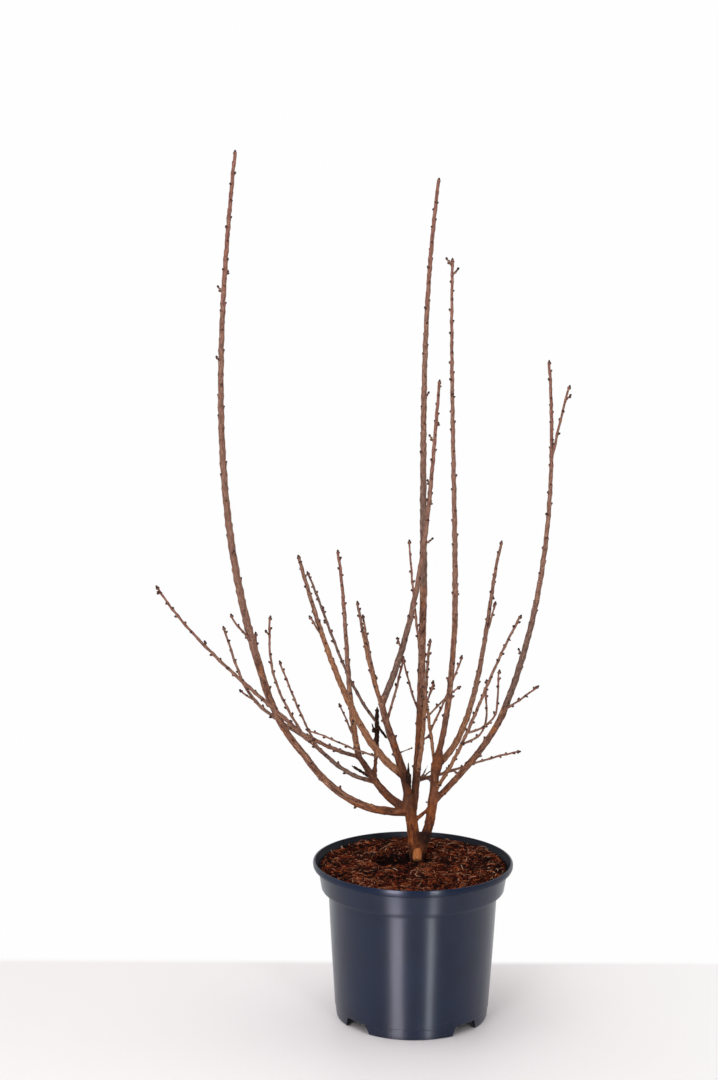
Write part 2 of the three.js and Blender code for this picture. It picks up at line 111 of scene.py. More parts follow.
class Finish:
    """A node material in the making: a Principled shader and short calls that add nodes."""

    def __init__(self, name, roughness, specular=0.5):
        self.material = bpy.data.materials.new(name)
        self.material.use_nodes = True
        self.tree = self.material.node_tree
        self.shader = self.tree.nodes["Principled BSDF"]
        self.shader.inputs["Roughness"].default_value = roughness
        self.shader.inputs["Specular IOR Level"].default_value = specular
        self.place = self.node("TexCoord").outputs["Object"]

    def node(self, kind, **values):
        """A new node, with some of its settings or inputs given by name."""
        made = self.tree.nodes.new("ShaderNode" + kind)
        for key, value in values.items():
            socket = made.inputs.get(key.title())
            if socket is None:
                setattr(made, key, value)
            else:
                self.feed(socket, value)
        return made

    def feed(self, socket, value):
        """A number or colour goes on the socket, and another node's output is linked to it."""
        if isinstance(value, bpy.types.NodeSocket):
            self.tree.links.new(value, socket)
        else:
            socket.default_value = value

    def stretched(self, scale, source=None):
        """Coordinates that are drawn out along some axes."""
        mapping = self.node("Mapping", vector=source or self.place)
        mapping.inputs["Scale"].default_value = scale
        return mapping.outputs["Vector"]

    def attribute(self, name):
        """Coordinates or numbers that the mesh itself carries."""
        return self.node("Attribute", attribute_name=name).outputs["Vector"]

    def noise(self, scale, detail=4.0, roughness=0.55, source=None):
        """Cloudy noise, from 0 to 1."""
        made = self.node("TexNoise", scale=scale, detail=detail, roughness=roughness)
        self.feed(made.inputs["Vector"], source or self.place)
        return made.outputs["Fac"]

    def cells(self, scale, source=None):
        """Distances in a field of cells."""
        made = self.node("TexVoronoi", scale=scale)
        self.feed(made.inputs["Vector"], source or self.place)
        return made.outputs["Distance"]

    def ramp(self, factor, stops):
        """Colours by a factor. Each stop is a place from 0 to 1 and a colour."""
        made = self.node("ValToRGB")
        self.feed(made.inputs["Fac"], factor)
        band = made.color_ramp.elements
        while len(band) < len(stops):
            band.new(0.5)
        for element, (place, shade) in zip(band, stops):
            element.position = place
            element.color = shade
        return made.outputs["Color"]

    def span(self, factor, low, high, start=0.0, end=1.0):
        """A factor carried from the span low to high onto the span start to end."""
        made = self.node("MapRange")
        for key, value in zip(("Value", "From Min", "From Max", "To Min", "To Max"),
                              (factor, low, high, start, end)):
            self.feed(made.inputs[key], value)
        return made.outputs["Result"]

    def mixed(self, factor, first, second, blend_type="MIX"):
        """Two colours mixed by a factor."""
        made = self.node("Mix", data_type="RGBA", blend_type=blend_type)
        self.feed(made.inputs["Factor"], factor)
        self.feed(made.inputs[6], first)
        self.feed(made.inputs[7], second)
        return made.outputs[2]

    def total(self, first, second, operation="ADD"):
        """Two numbers joined by a sum, a product or the like."""
        made = self.node("Math", operation=operation)
        self.feed(made.inputs[0], first)
        self.feed(made.inputs[1], second)
        return made.outputs[0]

    def product(self, first, second):
        """Two numbers multiplied, as when one mask limits another."""
        return self.total(first, second, "MULTIPLY")

    def bump(self, height, depth, strength=1.0):
        """Small relief from a height between 0 and 1 and its depth in metres."""
        made = self.node("Bump")
        self.feed(made.inputs["Height"], height)
        made.inputs["Distance"].default_value = depth
        made.inputs["Strength"].default_value = strength
        self.feed(self.shader.inputs["Normal"], made.outputs["Normal"])

    def paint(self, shade):
        """Give the shader its colour."""
        self.feed(self.shader.inputs["Base Color"], shade)

    def gloss(self, roughness):
        """Give the shader a roughness that varies over the surface."""
        self.feed(self.shader.inputs["Roughness"], roughness)


print("material helpers ready")

# %% [markdown]
# ## The world round the bush
# The bush stands in even white light, while the room behind the camera is darker. A plain white
# world alone would wash the pot out, because smooth dark plastic mirrors whatever is in front of
# it. So the world is bright behind the bush and dimmer in front, and the camera always sees it
# as plain white.

# %% World
WORLD_SEEN = colour(254, 254, 254)
WORLD_BACK = 1.0
WORLD_FRONT = 0.18
FRONT_ENDS = -0.75
BACK_STARTS = 0.25
world = bpy.data.worlds.new("studio")
bpy.context.scene.world = world
world.use_nodes = True
sky = world.node_tree
background = sky.nodes["Background"]
direction = sky.nodes.new("ShaderNodeTexCoord")
parts = sky.nodes.new("ShaderNodeSeparateXYZ")
sky.links.new(direction.outputs["Generated"], parts.inputs[0])
strength = sky.nodes.new("ShaderNodeMapRange")
strength.interpolation_type = "SMOOTHSTEP"
for key, value in (
    ("From Min", FRONT_ENDS), ("From Max", BACK_STARTS), ("To Min", WORLD_FRONT), ("To Max", WORLD_BACK),
):
    strength.inputs[key].default_value = value
sky.links.new(parts.outputs["Y"], strength.inputs["Value"])
seen = sky.nodes.new("ShaderNodeBackground")
seen.inputs["Color"].default_value = WORLD_SEEN
background.inputs["Color"].default_value = (1.0, 0.985, 0.97, 1.0)
sky.links.new(strength.outputs["Result"], background.inputs["Strength"])
ray = sky.nodes.new("ShaderNodeLightPath")
choice = sky.nodes.new("ShaderNodeMixShader")
sky.links.new(ray.outputs["Is Camera Ray"], choice.inputs[0])
sky.links.new(background.outputs[0], choice.inputs[1])
sky.links.new(seen.outputs[0], choice.inputs[2])
sky.links.new(choice.outputs[0], sky.nodes["World Output"].inputs["Surface"])
print("world made")

# %% [markdown]
# ## The lights
# Two tall soft boxes stand in front, one to each side, and a third light hangs above. The stripes
# that the boxes leave on the pot are much brighter than the boxes could be without bleaching the
# bark. Making the plastic shinier would brighten its whole face. So each box gets a gleam, a
# second light in nearly the same place that lights nothing and shows only in reflections.

# %% Soft boxes
def soft_box(name, place, size, power, tint):
    """A tall area light that faces the pot and stays out of the picture."""
    bpy.ops.object.light_add(type="AREA", location=place)
    lamp = bpy.context.object
    lamp.name = name
    lamp.data.shape = "RECTANGLE"
    lamp.data.size, lamp.data.size_y = size
    lamp.data.energy = power
    lamp.data.color = tint
    towards = Vector((0, 0, place[2])) - Vector(place)
    lamp.rotation_euler = towards.to_track_quat("-Z", "Y").to_euler()
    lamp.visible_camera = False
    return lamp


soft_box("soft_box_left", (-0.80, -1.62, 0.86), (0.60, 1.70), 13.5, (1.0, 0.97, 0.94))
soft_box("soft_box_right", (0.80, -1.66, 0.70), (0.36, 1.36), 8.0, (1.0, 0.98, 0.96))
for name, place, size, power, tint in (
    ("gleam_left", (-0.665, -1.68, 0.86), (0.50, 1.70), 84.0, (0.93, 0.88, 1.0)),
    ("gleam_right", (0.72, -1.67, 0.76), (0.22, 1.50), 37.0, (0.91, 0.96, 1.0)),
):
    gleam = soft_box(name, place, size, power, tint)
    gleam.visible_diffuse = False
bpy.ops.object.light_add(type="AREA", location=(-0.5, -0.5, 1.9))
top_light = bpy.context.object
top_light.name = "soft_box_top"
top_light.data.size = 1.1
top_light.data.energy = 9.0
top_light.rotation_euler = (Vector((0, 0, 0.3)) - top_light.location).to_track_quat("-Z", "Y").to_euler()
top_light.visible_camera = False
print("soft boxes:", [lamp.name for lamp in bpy.data.lights])

# %% [markdown]
# ## The floor
# The pot stands on a plain pale floor that is lost in white with distance. A large plane of one
# tone would end in a hard line. Here the floor's shader is mixed with a plain white glow, little
# by little with distance from the pot, so that only the part round it takes shadows. What the
# glow adds to each side is set apart, along X and along Y.

# %% Floor
FLOOR_TONE = colour(240, 236, 238)
bpy.ops.mesh.primitive_circle_add(vertices=96, radius=6, fill_type="NGON", location=(0, 0, -0.0002))
floor = bpy.context.object
floor.name = "floor"
floor_finish = Finish("pale_floor", 0.5, specular=0.25)
floor_finish.paint(FLOOR_TONE)
glow = floor_finish.node("Emission", color=WORLD_SEEN, strength=1.0)
reach = floor_finish.node("VectorMath", operation="LENGTH")
floor_finish.feed(reach.inputs[0], floor_finish.stretched((0.62, 1.0, 1.0)))
fade = floor_finish.span(reach.outputs["Value"], 0.55, 1.7)
floor_place = floor_finish.node("SeparateXYZ", vector=floor_finish.place)
for axis, near, far, most in (("X", 0.06, 0.30, 0.45), ("Y", -0.08, -0.26, 0.2), ("Y", 0.126, 0.138, 1.0)):
    shown = floor_finish.span(floor_place.outputs[axis], near, far, 0.0, most)
    fade = floor_finish.total(fade, shown, "MAXIMUM")
joint = floor_finish.node("MixShader")
floor_finish.feed(joint.inputs[0], fade)
floor_finish.feed(joint.inputs[1], floor_finish.shader.outputs[0])
floor_finish.feed(joint.inputs[2], glow.outputs[0])
floor_finish.feed(floor_finish.tree.nodes["Material Output"].inputs["Surface"], joint.outputs[0])
floor.data.materials.append(floor_finish.material)
print("floor made")

# %% [markdown]
# ## Helpers for modelling
# Operators act on whatever is selected, so each step starts from a clear selection. What several
# pieces need is written once: picking the faces on top, and extruding a disc ring by ring through
# a profile. A finished piece gets its finishes, is put on the body it rides on, and hides the nodes
# of the frame that it replaces. One helper does all three.

# %% Helpers for objects
def start_clean():
    """Leave edit mode and select nothing."""
    if bpy.context.object and bpy.context.object.mode != "OBJECT":
        bpy.ops.object.mode_set(mode="OBJECT")
    bpy.ops.object.select_all(action="DESELECT")


def take(piece):
    """Make one object the only selected one, and the active one."""
    start_clean()
    piece.select_set(True)
    bpy.context.view_layer.objects.active = piece


def apply_modifier(piece, kind, **settings):
    """Add a modifier, set it and apply it."""
    take(piece)
    added = piece.modifiers.new(kind.lower(), kind)
    for key, value in settings.items():
        setattr(added, key, value)
    bpy.ops.object.modifier_apply(modifier=added.name)


def place_in_mesh(piece):
    """Put the place, turn and scale of an object into its mesh."""
    take(piece)
    bpy.ops.object.transform_apply(location=True, rotation=True, scale=True)


def smooth(piece):
    """Shade a piece smoothly."""
    take(piece)
    bpy.ops.object.shade_smooth()


print("object helpers ready")

# %% Helpers for meshes and finished pieces
def pick_top(piece):
    """Leave only the faces that look up selected, and go into edit mode."""
    bpy.ops.object.mode_set(mode="EDIT")
    bpy.ops.mesh.select_all(action="DESELECT")
    bpy.ops.object.mode_set(mode="OBJECT")
    for face in piece.data.polygons:
        face.select = face.normal.z > 0.9
    bpy.ops.object.mode_set(mode="EDIT")


def raise_rings(profile):
    """Extrude the new disc through a profile of radii and heights in mm, and stay in edit mode."""
    bpy.ops.object.mode_set(mode="EDIT")
    bpy.ops.mesh.select_all(action="SELECT")
    for (last_radius, last_level), (radius, level) in zip(profile, profile[1:]):
        rise = (level - last_level) * MM
        bpy.ops.mesh.extrude_region_move(TRANSFORM_OT_translate={"value": (0, 0, rise)})
        grown = radius / last_radius
        bpy.ops.transform.resize(value=(grown, grown, 1), center_override=(0, 0, level * MM))


def turn_outward():
    """Point all faces of the mesh in edit mode outward, and leave edit mode."""
    bpy.ops.mesh.select_all(action="SELECT")
    bpy.ops.mesh.normals_make_consistent(inside=False)
    bpy.ops.object.mode_set(mode="OBJECT")


def give_attribute(mesh, label, values):
    """Give a mesh three numbers at each vertex, which a finish can read by their label."""
    made = mesh.attributes.new(label, "FLOAT_VECTOR", "POINT")
    made.data.foreach_set("vector", np.asarray(values, dtype=np.float32).ravel())


def finish_piece(piece, nodes, materials):
    """Give a piece its finishes, put it on its body, and hide the nodes of the frame that it replaces."""
    place_in_mesh(piece)
    # A Boolean leaves an empty slot, which would keep the first finish from its faces. Clearing
    # also forgets what the faces were dealt, so only a piece that has a slot is cleared.
    if len(piece.data.materials):
        piece.data.materials.clear()
    for finish in materials:
        piece.data.materials.append(finish.material)
    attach(piece, "root")
    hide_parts(*nodes)
    piece.data.calc_loop_triangles()
    print(piece.name, "has", len(piece.data.loop_triangles), "triangles")


print("mesh helpers ready")

# %% [markdown]
# ## The pot's plastic
# A nursery pot is thin moulded polypropylene, a dark slate blue. Its mould was turned on a lathe,
# which leaves very fine lines round it. They spread a reflection up and down but not sideways, so a
# soft box shows as a sharp upright stripe. That is just what the shader's anisotropy does, with the
# tangent turned upright. Faint clouds, fine grain and a little dust near the foot keep the surface
# from looking like one flat colour. The inside lies in shade and gets its own nearly black finish,
# which is painted shade. The lip gets a copy without the glossy coat, because its tight curve would
# gather the lights into glaring dots.

# %% Pot plastic
POT_BLUE = colour(17, 30, 56)
POT_BLUE_DARK = colour(14, 25, 48)
POT_DUST = colour(92, 92, 98)
plastic = Finish("slate_plastic", 0.40, specular=0.28)
clouds = plastic.noise(26.0, detail=3.0)
slate = plastic.ramp(clouds, [(0.35, POT_BLUE_DARK), (0.65, POT_BLUE)])
pot_height = plastic.node("SeparateXYZ", vector=plastic.place).outputs["Z"]
low_down = plastic.span(pot_height, 0.030, 0.0, 0.0, 0.30)
specks = plastic.span(plastic.noise(420.0, detail=6.0, roughness=0.7), 0.52, 0.72)
dusty = plastic.product(low_down, specks)
plastic.paint(plastic.mixed(dusty, slate, POT_DUST))
streaks = plastic.noise(9.0, detail=5.0, source=plastic.stretched((22.0, 22.0, 2.5)))
plastic.gloss(plastic.span(streaks, 0.3, 0.7, 0.32, 0.38))
plastic.shader.inputs["Anisotropic"].default_value = 1.0
plastic.shader.inputs["Anisotropic Rotation"].default_value = 0.25
plastic.shader.inputs["Coat Weight"].default_value = 0.25
plastic.shader.inputs["Coat Roughness"].default_value = 0.13
round_axis = plastic.node("Tangent", direction_type="RADIAL", axis="Z")
plastic.feed(plastic.shader.inputs["Tangent"], round_axis.outputs["Tangent"])
grain = plastic.noise(900.0, detail=2.0)
waves = plastic.noise(34.0, detail=2.0, source=plastic.stretched((1.0, 1.0, 0.35)))
plastic.bump(plastic.total(plastic.product(grain, 0.12), waves), 0.00035, 0.35)
# A nearly black finish for the inner wall. It is painted shade, because the wall is the same plastic as the
# outside.
inner_shade_plastic = Finish("slate_plastic_painted_shade", 0.5, specular=0.12)
inner_shade_plastic.paint(inner_shade_plastic.ramp(inner_shade_plastic.noise(60.0), [
    (0.3, colour(9, 13, 21)), (0.7, colour(15, 21, 33)),
]))
inner_shade_plastic.bump(inner_shade_plastic.noise(900.0, detail=2.0), 0.00005, 0.4)
lip_plastic = plastic.material.copy()
lip_plastic.name = "slate_plastic_lip"
lip_shader = lip_plastic.node_tree.nodes["Principled BSDF"]
lip_shader.inputs["Coat Weight"].default_value = 0.0
lip_shader.inputs["Specular IOR Level"].default_value = 0.22
print("finishes:", plastic.material.name, inner_shade_plastic.material.name, lip_plastic.name)

# %% [markdown]
# ## The pot
# The real pot is one thin moulded shell. A domed pad in the middle of its underside and four feet
# stand on the ground, a raised channel with drain holes runs between them, and the wall widens
# upward to a stepped band and a rolled lip. It could be spun from a drawn profile, or a cylinder
# could be hollowed. Extruding a disc ring by ring and resizing each ring follows the same profile
# and keeps the shell closed all the way, from the pad out, up, over the lip and down inside.

# %% Pot profile
POT_SIDES = 160
underside = [(45.3, 0.0), (46.0, 0.5), (46.6, 3.0), (47.6, 9.0), (67.6, 9.0), (68.0, 8.6), (68.0, 0.5)]
foot = [(68.4, 0.0), (69.8, 0.0), (70.4, 0.5), (70.8, 2.0), (71.05, 4.0), (71.35, 9.6), (71.6, 9.9)]
body = [(71.95, 10.3), (73.6, 36.0), (75.3, 62.0), (76.9, 90.0), (78.3, 116.5), (78.7, 119.6)]
band = [(79.6, 120.9), (81.2, 121.3), (83.4, 121.5), (84.5, 121.9), (85.1, 122.9), (85.3, 124.4)]
flare = [(86.4, 130.5), (87.7, 138.6), (88.2, 140.4), (89.2, 141.2), (90.8, 141.5), (92.1, 142.2)]
lip = [(92.8, 143.5), (93.0, 145.2), (92.9, 146.8), (92.4, 147.7), (91.6, 148.0), (90.9, 147.8)]
inside = [(91.1, 147.4), (90.5, 146.0), (89.1, 143.2), (86.9, 140.6), (85.0, 131.0), (83.4, 123.6)]
inside += [(80.0, 122.2), (77.3, 121.2), (76.6, 118.0), (69.6, 12.0), (68.8, 10.6), (47.0, 10.6)]
inside += [(45.6, 9.6), (44.4, 1.6)]
profile = underside + foot + body + band + flare + lip + inside

bpy.ops.mesh.primitive_circle_add(vertices=POT_SIDES, radius=profile[0][0] * MM, fill_type="NGON")
pot = bpy.context.object
pot.name = "nursery_pot"
raise_rings(profile)
turn_outward()
print("pot rings:", len(profile))

# %% [markdown]
# The skirt under the floor is parted by four notches with slanting sides, and eight round drain
# holes pass through the raised channel. Each cutter is modelled once, a block whose top is drawn
# in and a short cylinder, then copied round the axis and taken away with one Boolean. A small
# bevel softens the new edges as moulding does. Last, the faces inside and on the lip are dealt
# their own finishes.

# %% Cutters for notches and drain holes
NOTCH_COUNT = 4
NOTCH_FIRST = -47.0
NOTCH_WIDTHS = (31.0, 24.0)
NOTCH_PLACE = 69.5
NOTCH_DEPTH = 9.2
NOTCH_LEVELS = (-1.0, 9.0)
DRAIN_COUNT = 8
DRAIN_RADIUS = 4.5
DRAIN_PLACE = 58.5


def copies_round(first, count, start):
    """Copies of a cutter, turned round the pot's axis and joined with it."""
    cutters = [first]
    for turn in range(1, count):
        other = first.copy()
        other.data = first.data.copy()
        bpy.context.collection.objects.link(other)
        cutters.append(other)
    for turn, cutter in enumerate(cutters):
        cutter.rotation_euler.z = math.radians(start + turn * 360 / count)
    start_clean()
    for cutter in cutters:
        cutter.select_set(True)
    bpy.context.view_layer.objects.active = first
    bpy.ops.object.join()
    place_in_mesh(first)
    return first


start_clean()
notch_low, notch_high = (level * MM for level in NOTCH_LEVELS)
bpy.ops.mesh.primitive_cube_add(size=1, location=(NOTCH_PLACE * MM, 0, (notch_low + notch_high) / 2))
notch = bpy.context.object
notch.scale = (NOTCH_DEPTH * MM, NOTCH_WIDTHS[0] * MM, notch_high - notch_low)
place_in_mesh(notch)
pick_top(notch)
narrowed = NOTCH_WIDTHS[1] / NOTCH_WIDTHS[0]
bpy.ops.transform.resize(value=(1, narrowed, 1), center_override=(NOTCH_PLACE * MM, 0, notch_high))
bpy.ops.object.mode_set(mode="OBJECT")
notches = copies_round(notch, NOTCH_COUNT, NOTCH_FIRST)

start_clean()
bpy.ops.mesh.primitive_cylinder_add(
    vertices=28, radius=DRAIN_RADIUS * MM, depth=6.4 * MM, location=(DRAIN_PLACE * MM, 0, 0.0098)
)
drains = copies_round(bpy.context.object, DRAIN_COUNT, 180 / DRAIN_COUNT)
print("cutters:", NOTCH_COUNT, "notches and", DRAIN_COUNT, "drain holes")

# %% Cutting and finishing the pot
SHADED_BELOW = 146.8
LIP_ABOVE = 140.4
for cutter in (notches, drains):
    apply_modifier(pot, "BOOLEAN", operation="DIFFERENCE", solver="MANIFOLD", object=cutter)
    bpy.data.objects.remove(cutter)
apply_modifier(pot, "BEVEL", width=0.35 * MM, segments=2, limit_method="ANGLE", angle_limit=math.radians(50))
take(pot)
bpy.ops.object.shade_smooth_by_angle(angle=math.radians(32))
finish_piece(pot, ["pot"], [plastic, inner_shade_plastic])
pot.data.materials.append(lip_plastic)
# Faces that look inward, below the lip, take the nearly black finish as painted shade.
for face in pot.data.polygons:
    inward = face.normal.x * face.center.x + face.normal.y * face.center.y < 0
    if inward and face.center.z < SHADED_BELOW * MM:
        face.material_index = 1
    elif face.center.z > LIP_ABOVE * MM:
        face.material_index = 2

# %% [markdown]
# ## The compost's finishes
# The compost is coir: short red-brown husk fibres, darker crumbs between them, and a few pale
# chips. Seen closely, each strand has one plain colour, and the mixture gives the surface its
# warmth. One speckled material over a smooth mound would look painted, so five plain finishes are
# made here and dealt out strand by strand. The body under the strands gets a crumbly dark one.

# %% Compost finishes
def coir_finish(name, dark, light):
    """A matt finish that wavers between two near colours."""
    made = Finish(name, 0.85, specular=0.04)
    made.paint(made.ramp(made.noise(160.0, detail=3.0), [(0.3, dark), (0.7, light)]))
    made.bump(made.noise(1800.0, detail=2.0), 0.0002, 0.5)
    return made


COIR = [
    coir_finish("coir_black", colour(12, 4, 2), colour(30, 10, 6)),
    coir_finish("coir_red", colour(68, 18, 8), colour(108, 35, 15)),
    coir_finish("coir_orange", colour(128, 58, 28), colour(170, 92, 52)),
    coir_finish("coir_tan", colour(154, 98, 70), colour(194, 140, 110)),
    coir_finish("coir_cream", colour(184, 144, 116), colour(212, 176, 148)),
]
humus = Finish("compost_ground", 0.95, specular=0.05)
humus.paint(humus.ramp(humus.noise(120.0, detail=6.0, roughness=0.7), [
    (0.35, colour(12, 5, 3)), (0.55, colour(42, 16, 9)), (0.75, colour(76, 31, 16)),
]))
humus.bump(humus.noise(700.0, detail=5.0, roughness=0.7), 0.0012, 0.9)
print("compost finishes:", len(COIR) + 1)

# %% [markdown]
# ## The compost
# The filled pot has a low mound with a hollow in front of the stems and a slight dip along the
# wall, where the compost has shrunk away. The hollow lies in shade, and the coir in it is painted
# black as that shade. The body is extruded like the pot, and its top is inset again and again so
# that it has rings of vertices to lift. A height rule then gives every place its level, and the
# fibres that come later ask the same rule where to lie.

# %% Rule of the compost's height
SOIL_RIM = 87.4
SOIL_GROUND = 144.6
FOOT = Vector((4.0, 12.0))
HOLLOW = Vector((-22.0, 8.0))
HOLLOW_DEPTH = 10.0
FOOT_DIP = 6.5


def eased(value, low, high):
    """A smooth step from 0 to 1 as a value goes from low to high."""
    part = min(1.0, max(0.0, (value - low) / (high - low)))
    return part * part * (3 - 2 * part)


def hollow_distance(x, y):
    """How far out a place is in the hollow. It is 1 at the hollow's edge."""
    return math.hypot((x - HOLLOW.x) / 17, (y - HOLLOW.y) / 18) + 0.25 * noise.noise((x / 8, y / 8, 5.5))


def foot_distance(x, y):
    """How far a place is from the foot of the stems."""
    return math.hypot(x - FOOT.x, y - FOOT.y)


def ground_level(x, y):
    """Height of the compost in mm at a place in mm."""
    out = math.hypot(x, y) / SOIL_RIM
    from_foot = foot_distance(x, y)
    level = SOIL_GROUND - 1.2 * max(0.0, out - 0.48) - 2.2 * eased(out, 0.93, 1.0)
    lumps = 1.5 * noise.noise((x / 15, y / 15, 2.3)) + 1.1 * noise.noise((x / 5.5, y / 5.5, 7.1))
    crumbs = 0.55 * noise.noise((x / 2.2, y / 2.2, 4.7)) + 0.3 * noise.noise((x / 1.1, y / 1.1, 9.2))
    level += (lumps + crumbs) * eased(from_foot, 5.0, 18.0)
    level -= HOLLOW_DEPTH * eased(1.15 - hollow_distance(x, y), 0.0, 0.6)
    level -= FOOT_DIP * eased(17.0 - from_foot, 0.0, 8.0)
    return level


print("level in the hollow:", round(ground_level(HOLLOW.x, HOLLOW.y), 1), "mm")

# %% Compost body
SOIL_EDGE = 142.0
TOP_RINGS = 62
start_clean()
wall_line = [(44.0, 2.0), (45.2, 10.2), (46.6, 11.0), (68.4, 11.0), (76.2, 118.0)]
wall_line += [(77.0, 121.6), (83.0, 124.0), (84.7, 131.0), (86.2, 140.6), (SOIL_RIM, SOIL_EDGE)]
inner_radius, inner_level = wall_line[0]
bpy.ops.mesh.primitive_circle_add(
    vertices=150, radius=inner_radius * MM, fill_type="NGON", location=(0, 0, inner_level * MM)
)
compost = bpy.context.object
compost.name = "compost_body"
place_in_mesh(compost)
raise_rings(wall_line)
for ring in range(TOP_RINGS):
    bpy.ops.mesh.inset(thickness=SOIL_RIM / (TOP_RINGS + 1) * MM, use_even_offset=False)
bpy.ops.mesh.poke()
turn_outward()
for vertex in compost.data.vertices:
    if vertex.co.z > (SOIL_EDGE - 0.2) * MM:
        vertex.co.z = ground_level(vertex.co.x / MM, vertex.co.y / MM) * MM
smooth(compost)
finish_piece(compost, ["soil"], [humus])

# %% [markdown]
# ## Gathering many small shapes
# Fibres, buds and twigs come in hundreds or thousands. Modelling each as an object would be slow,
# and instances are lost when the model is exported. So their vertices are worked out in arrays
# and gathered into one mesh of each kind. A gatherer keeps the running count, and remembers the
# finish of every triangle.

# %% Gatherer
class Gatherer:
    """Collects closed shapes made of points and triangles into one mesh."""

    def __init__(self):
        self.points = []
        self.triangles = []
        self.finishes = []
        self.marks = []
        self.count = 0

    def add(self, points, triangles, finish, marks=None):
        """Add a shape. The finish is a number or one number for each triangle."""
        self.points.append(points)
        self.triangles.append(triangles + self.count)
        self.finishes.append(np.broadcast_to(finish, len(triangles)))
        self.marks.append(points if marks is None else marks)
        self.count += len(points)

    def build(self, name, smooth=True):
        """The gathered shapes as one object. The marks become its limb_space attribute."""
        mesh = bpy.data.meshes.new(name)
        mesh.from_pydata(np.concatenate(self.points) * MM, [], np.concatenate(self.triangles).tolist())
        mesh.polygons.foreach_set("material_index", np.concatenate(self.finishes).astype(np.int32))
        mesh.polygons.foreach_set("use_smooth", [smooth] * len(mesh.polygons))
        give_attribute(mesh, "limb_space", np.concatenate(self.marks))
        mesh.update()
        made = bpy.data.objects.new(name, mesh)
        bpy.context.collection.objects.link(made)
        return made


def tube_triangles(rings, sides):
    """Triangles of a closed tube. Its points are the rings in turn, then its two end points."""
    ring, side = np.meshgrid(np.arange(rings - 1), np.arange(sides), indexing="ij")
    near = (ring * sides + side).ravel()
    near_next = (ring * sides + (side + 1) % sides).ravel()
    far = near + sides
    far_next = near_next + sides
    walls = [np.stack([near, near_next, far_next], 1), np.stack([near, far_next, far], 1)]
    turn = np.arange(sides)
    turn_next = (turn + 1) % sides
    foot_point = np.full(sides, rings * sides)
    last = (rings - 1) * sides
    foot_cap = np.stack([foot_point, turn_next, turn], 1)
    tip_cap = np.stack([foot_point + 1, last + turn, last + turn_next], 1)
    return np.concatenate([*walls, foot_cap, tip_cap])


print("gatherer ready")

# %% [markdown]
# ## Fibres, strands and crumbs
# Coir strands lie loosely over each other, curved, with their ends proud. Each one here is a
# three-sided tube of a few steps that wanders over the mound and arches a little above it. Hair
# particles would be quick, but they don't survive the export. Fine fibres fill the surface, coarse
# strands lie on top, a few long wisps rise above them, and lumpy crumbs sit between. Damp coir is
# dark in clumps, so a strand's finish depends on where it lies as well as on chance. In the hollow
# and round the foot of the stems most strands take the black finish, and in the hollow every crumb
# does, as painted shade.

# %% Places and clumps
draw = np.random.default_rng(7)
# How far into the hollow the strands and crumbs are painted black as shade.
HOLLOW_SHADE_REACH = 0.85


def in_clump(x, y, finish):
    """The coir finish that a strand takes from its place: dark in damp clumps, lighter in dry ones."""
    clump = noise.noise((x / 6.5, y / 6.5, 3.1)) + 0.45 * noise.noise((x / 19, y / 19, 8.7))
    if draw.random() < 0.88 * eased(clump, 0.0, 0.2):
        return 0
    if draw.random() < 0.5 * eased(-clump, 0.12, 0.35):
        return min(finish + 1, 3)
    return finish


def random_place(share):
    """A place on the compost in mm, spread evenly out to a share of its radius."""
    out = SOIL_RIM * math.sqrt(draw.random()) * share
    where = draw.random() * 2 * math.pi
    return out * math.cos(where), out * math.sin(where)


print("places and clumps ready")

# %% Compost fibres
def scatter_strands(name, count, steps, lengths, widths, curl, arch, shares, keep_off):
    """Curved strands over the mound. Shares give how often each coir finish is dealt."""
    gathered = Gatherer()
    triangles = tube_triangles(steps, 3)
    turn = np.radians([90, 210, 330])
    for index in range(count):
        x, y = random_place(0.985)
        length = draw.uniform(*lengths)
        heading = draw.random() * 2 * math.pi
        bend = draw.normal(0, curl)
        width = draw.uniform(*widths)
        lift = abs(draw.normal(0, arch))
        lean = draw.normal(0, arch)
        finish = draw.choice(5, p=shares)
        line = []
        deep = False
        for step in range(steps):
            line.append((x, y))
            deep = deep or hollow_distance(x, y) < HOLLOW_SHADE_REACH or foot_distance(x, y) < 14
            x += length / (steps - 1) * math.cos(heading)
            y += length / (steps - 1) * math.sin(heading)
            heading += bend + draw.normal(0, 0.15)
        # In the hollow and round the foot of the stems, most strands take the black finish as painted shade.
        finish = 0 if deep and draw.random() < 0.85 else in_clump(x, y, finish)
        line = np.array(line)
        far_out = np.hypot(line[:, 0], line[:, 1]).max() > SOIL_RIM * 0.995
        near_foot = np.hypot(line[:, 0] - FOOT.x, line[:, 1] - FOOT.y).min() < keep_off
        if far_out or near_foot:
            continue
        part = np.linspace(0, 1, steps)
        level = [ground_level(a, b) for a, b in line]
        level = np.maximum(level, np.mean(level) - 0.3) + lift * np.sin(part * math.pi) + lean * (part - 0.5)
        along = np.gradient(line, axis=0)
        along /= np.linalg.norm(along, axis=1)[:, None]
        side = np.stack([-along[:, 1], along[:, 0], np.zeros(steps)], 1)
        centre = np.column_stack([line, level + width * 0.3])
        girth = width / 2 * (0.35 + 0.65 * np.sin(part * math.pi) ** 0.5)
        ring = side[:, None, :] * np.cos(turn)[None, :, None] * 1.3
        ring = ring + np.array([0, 0, 1.0])[None, None, :] * np.sin(turn)[None, :, None] * 0.8
        points = (centre[:, None, :] + ring * girth[:, None, None]).reshape(-1, 3)
        points = np.concatenate([points, centre[:1], centre[-1:]])
        gathered.add(points, triangles, finish)
    finish_piece(gathered.build(name), ["soil"], COIR)


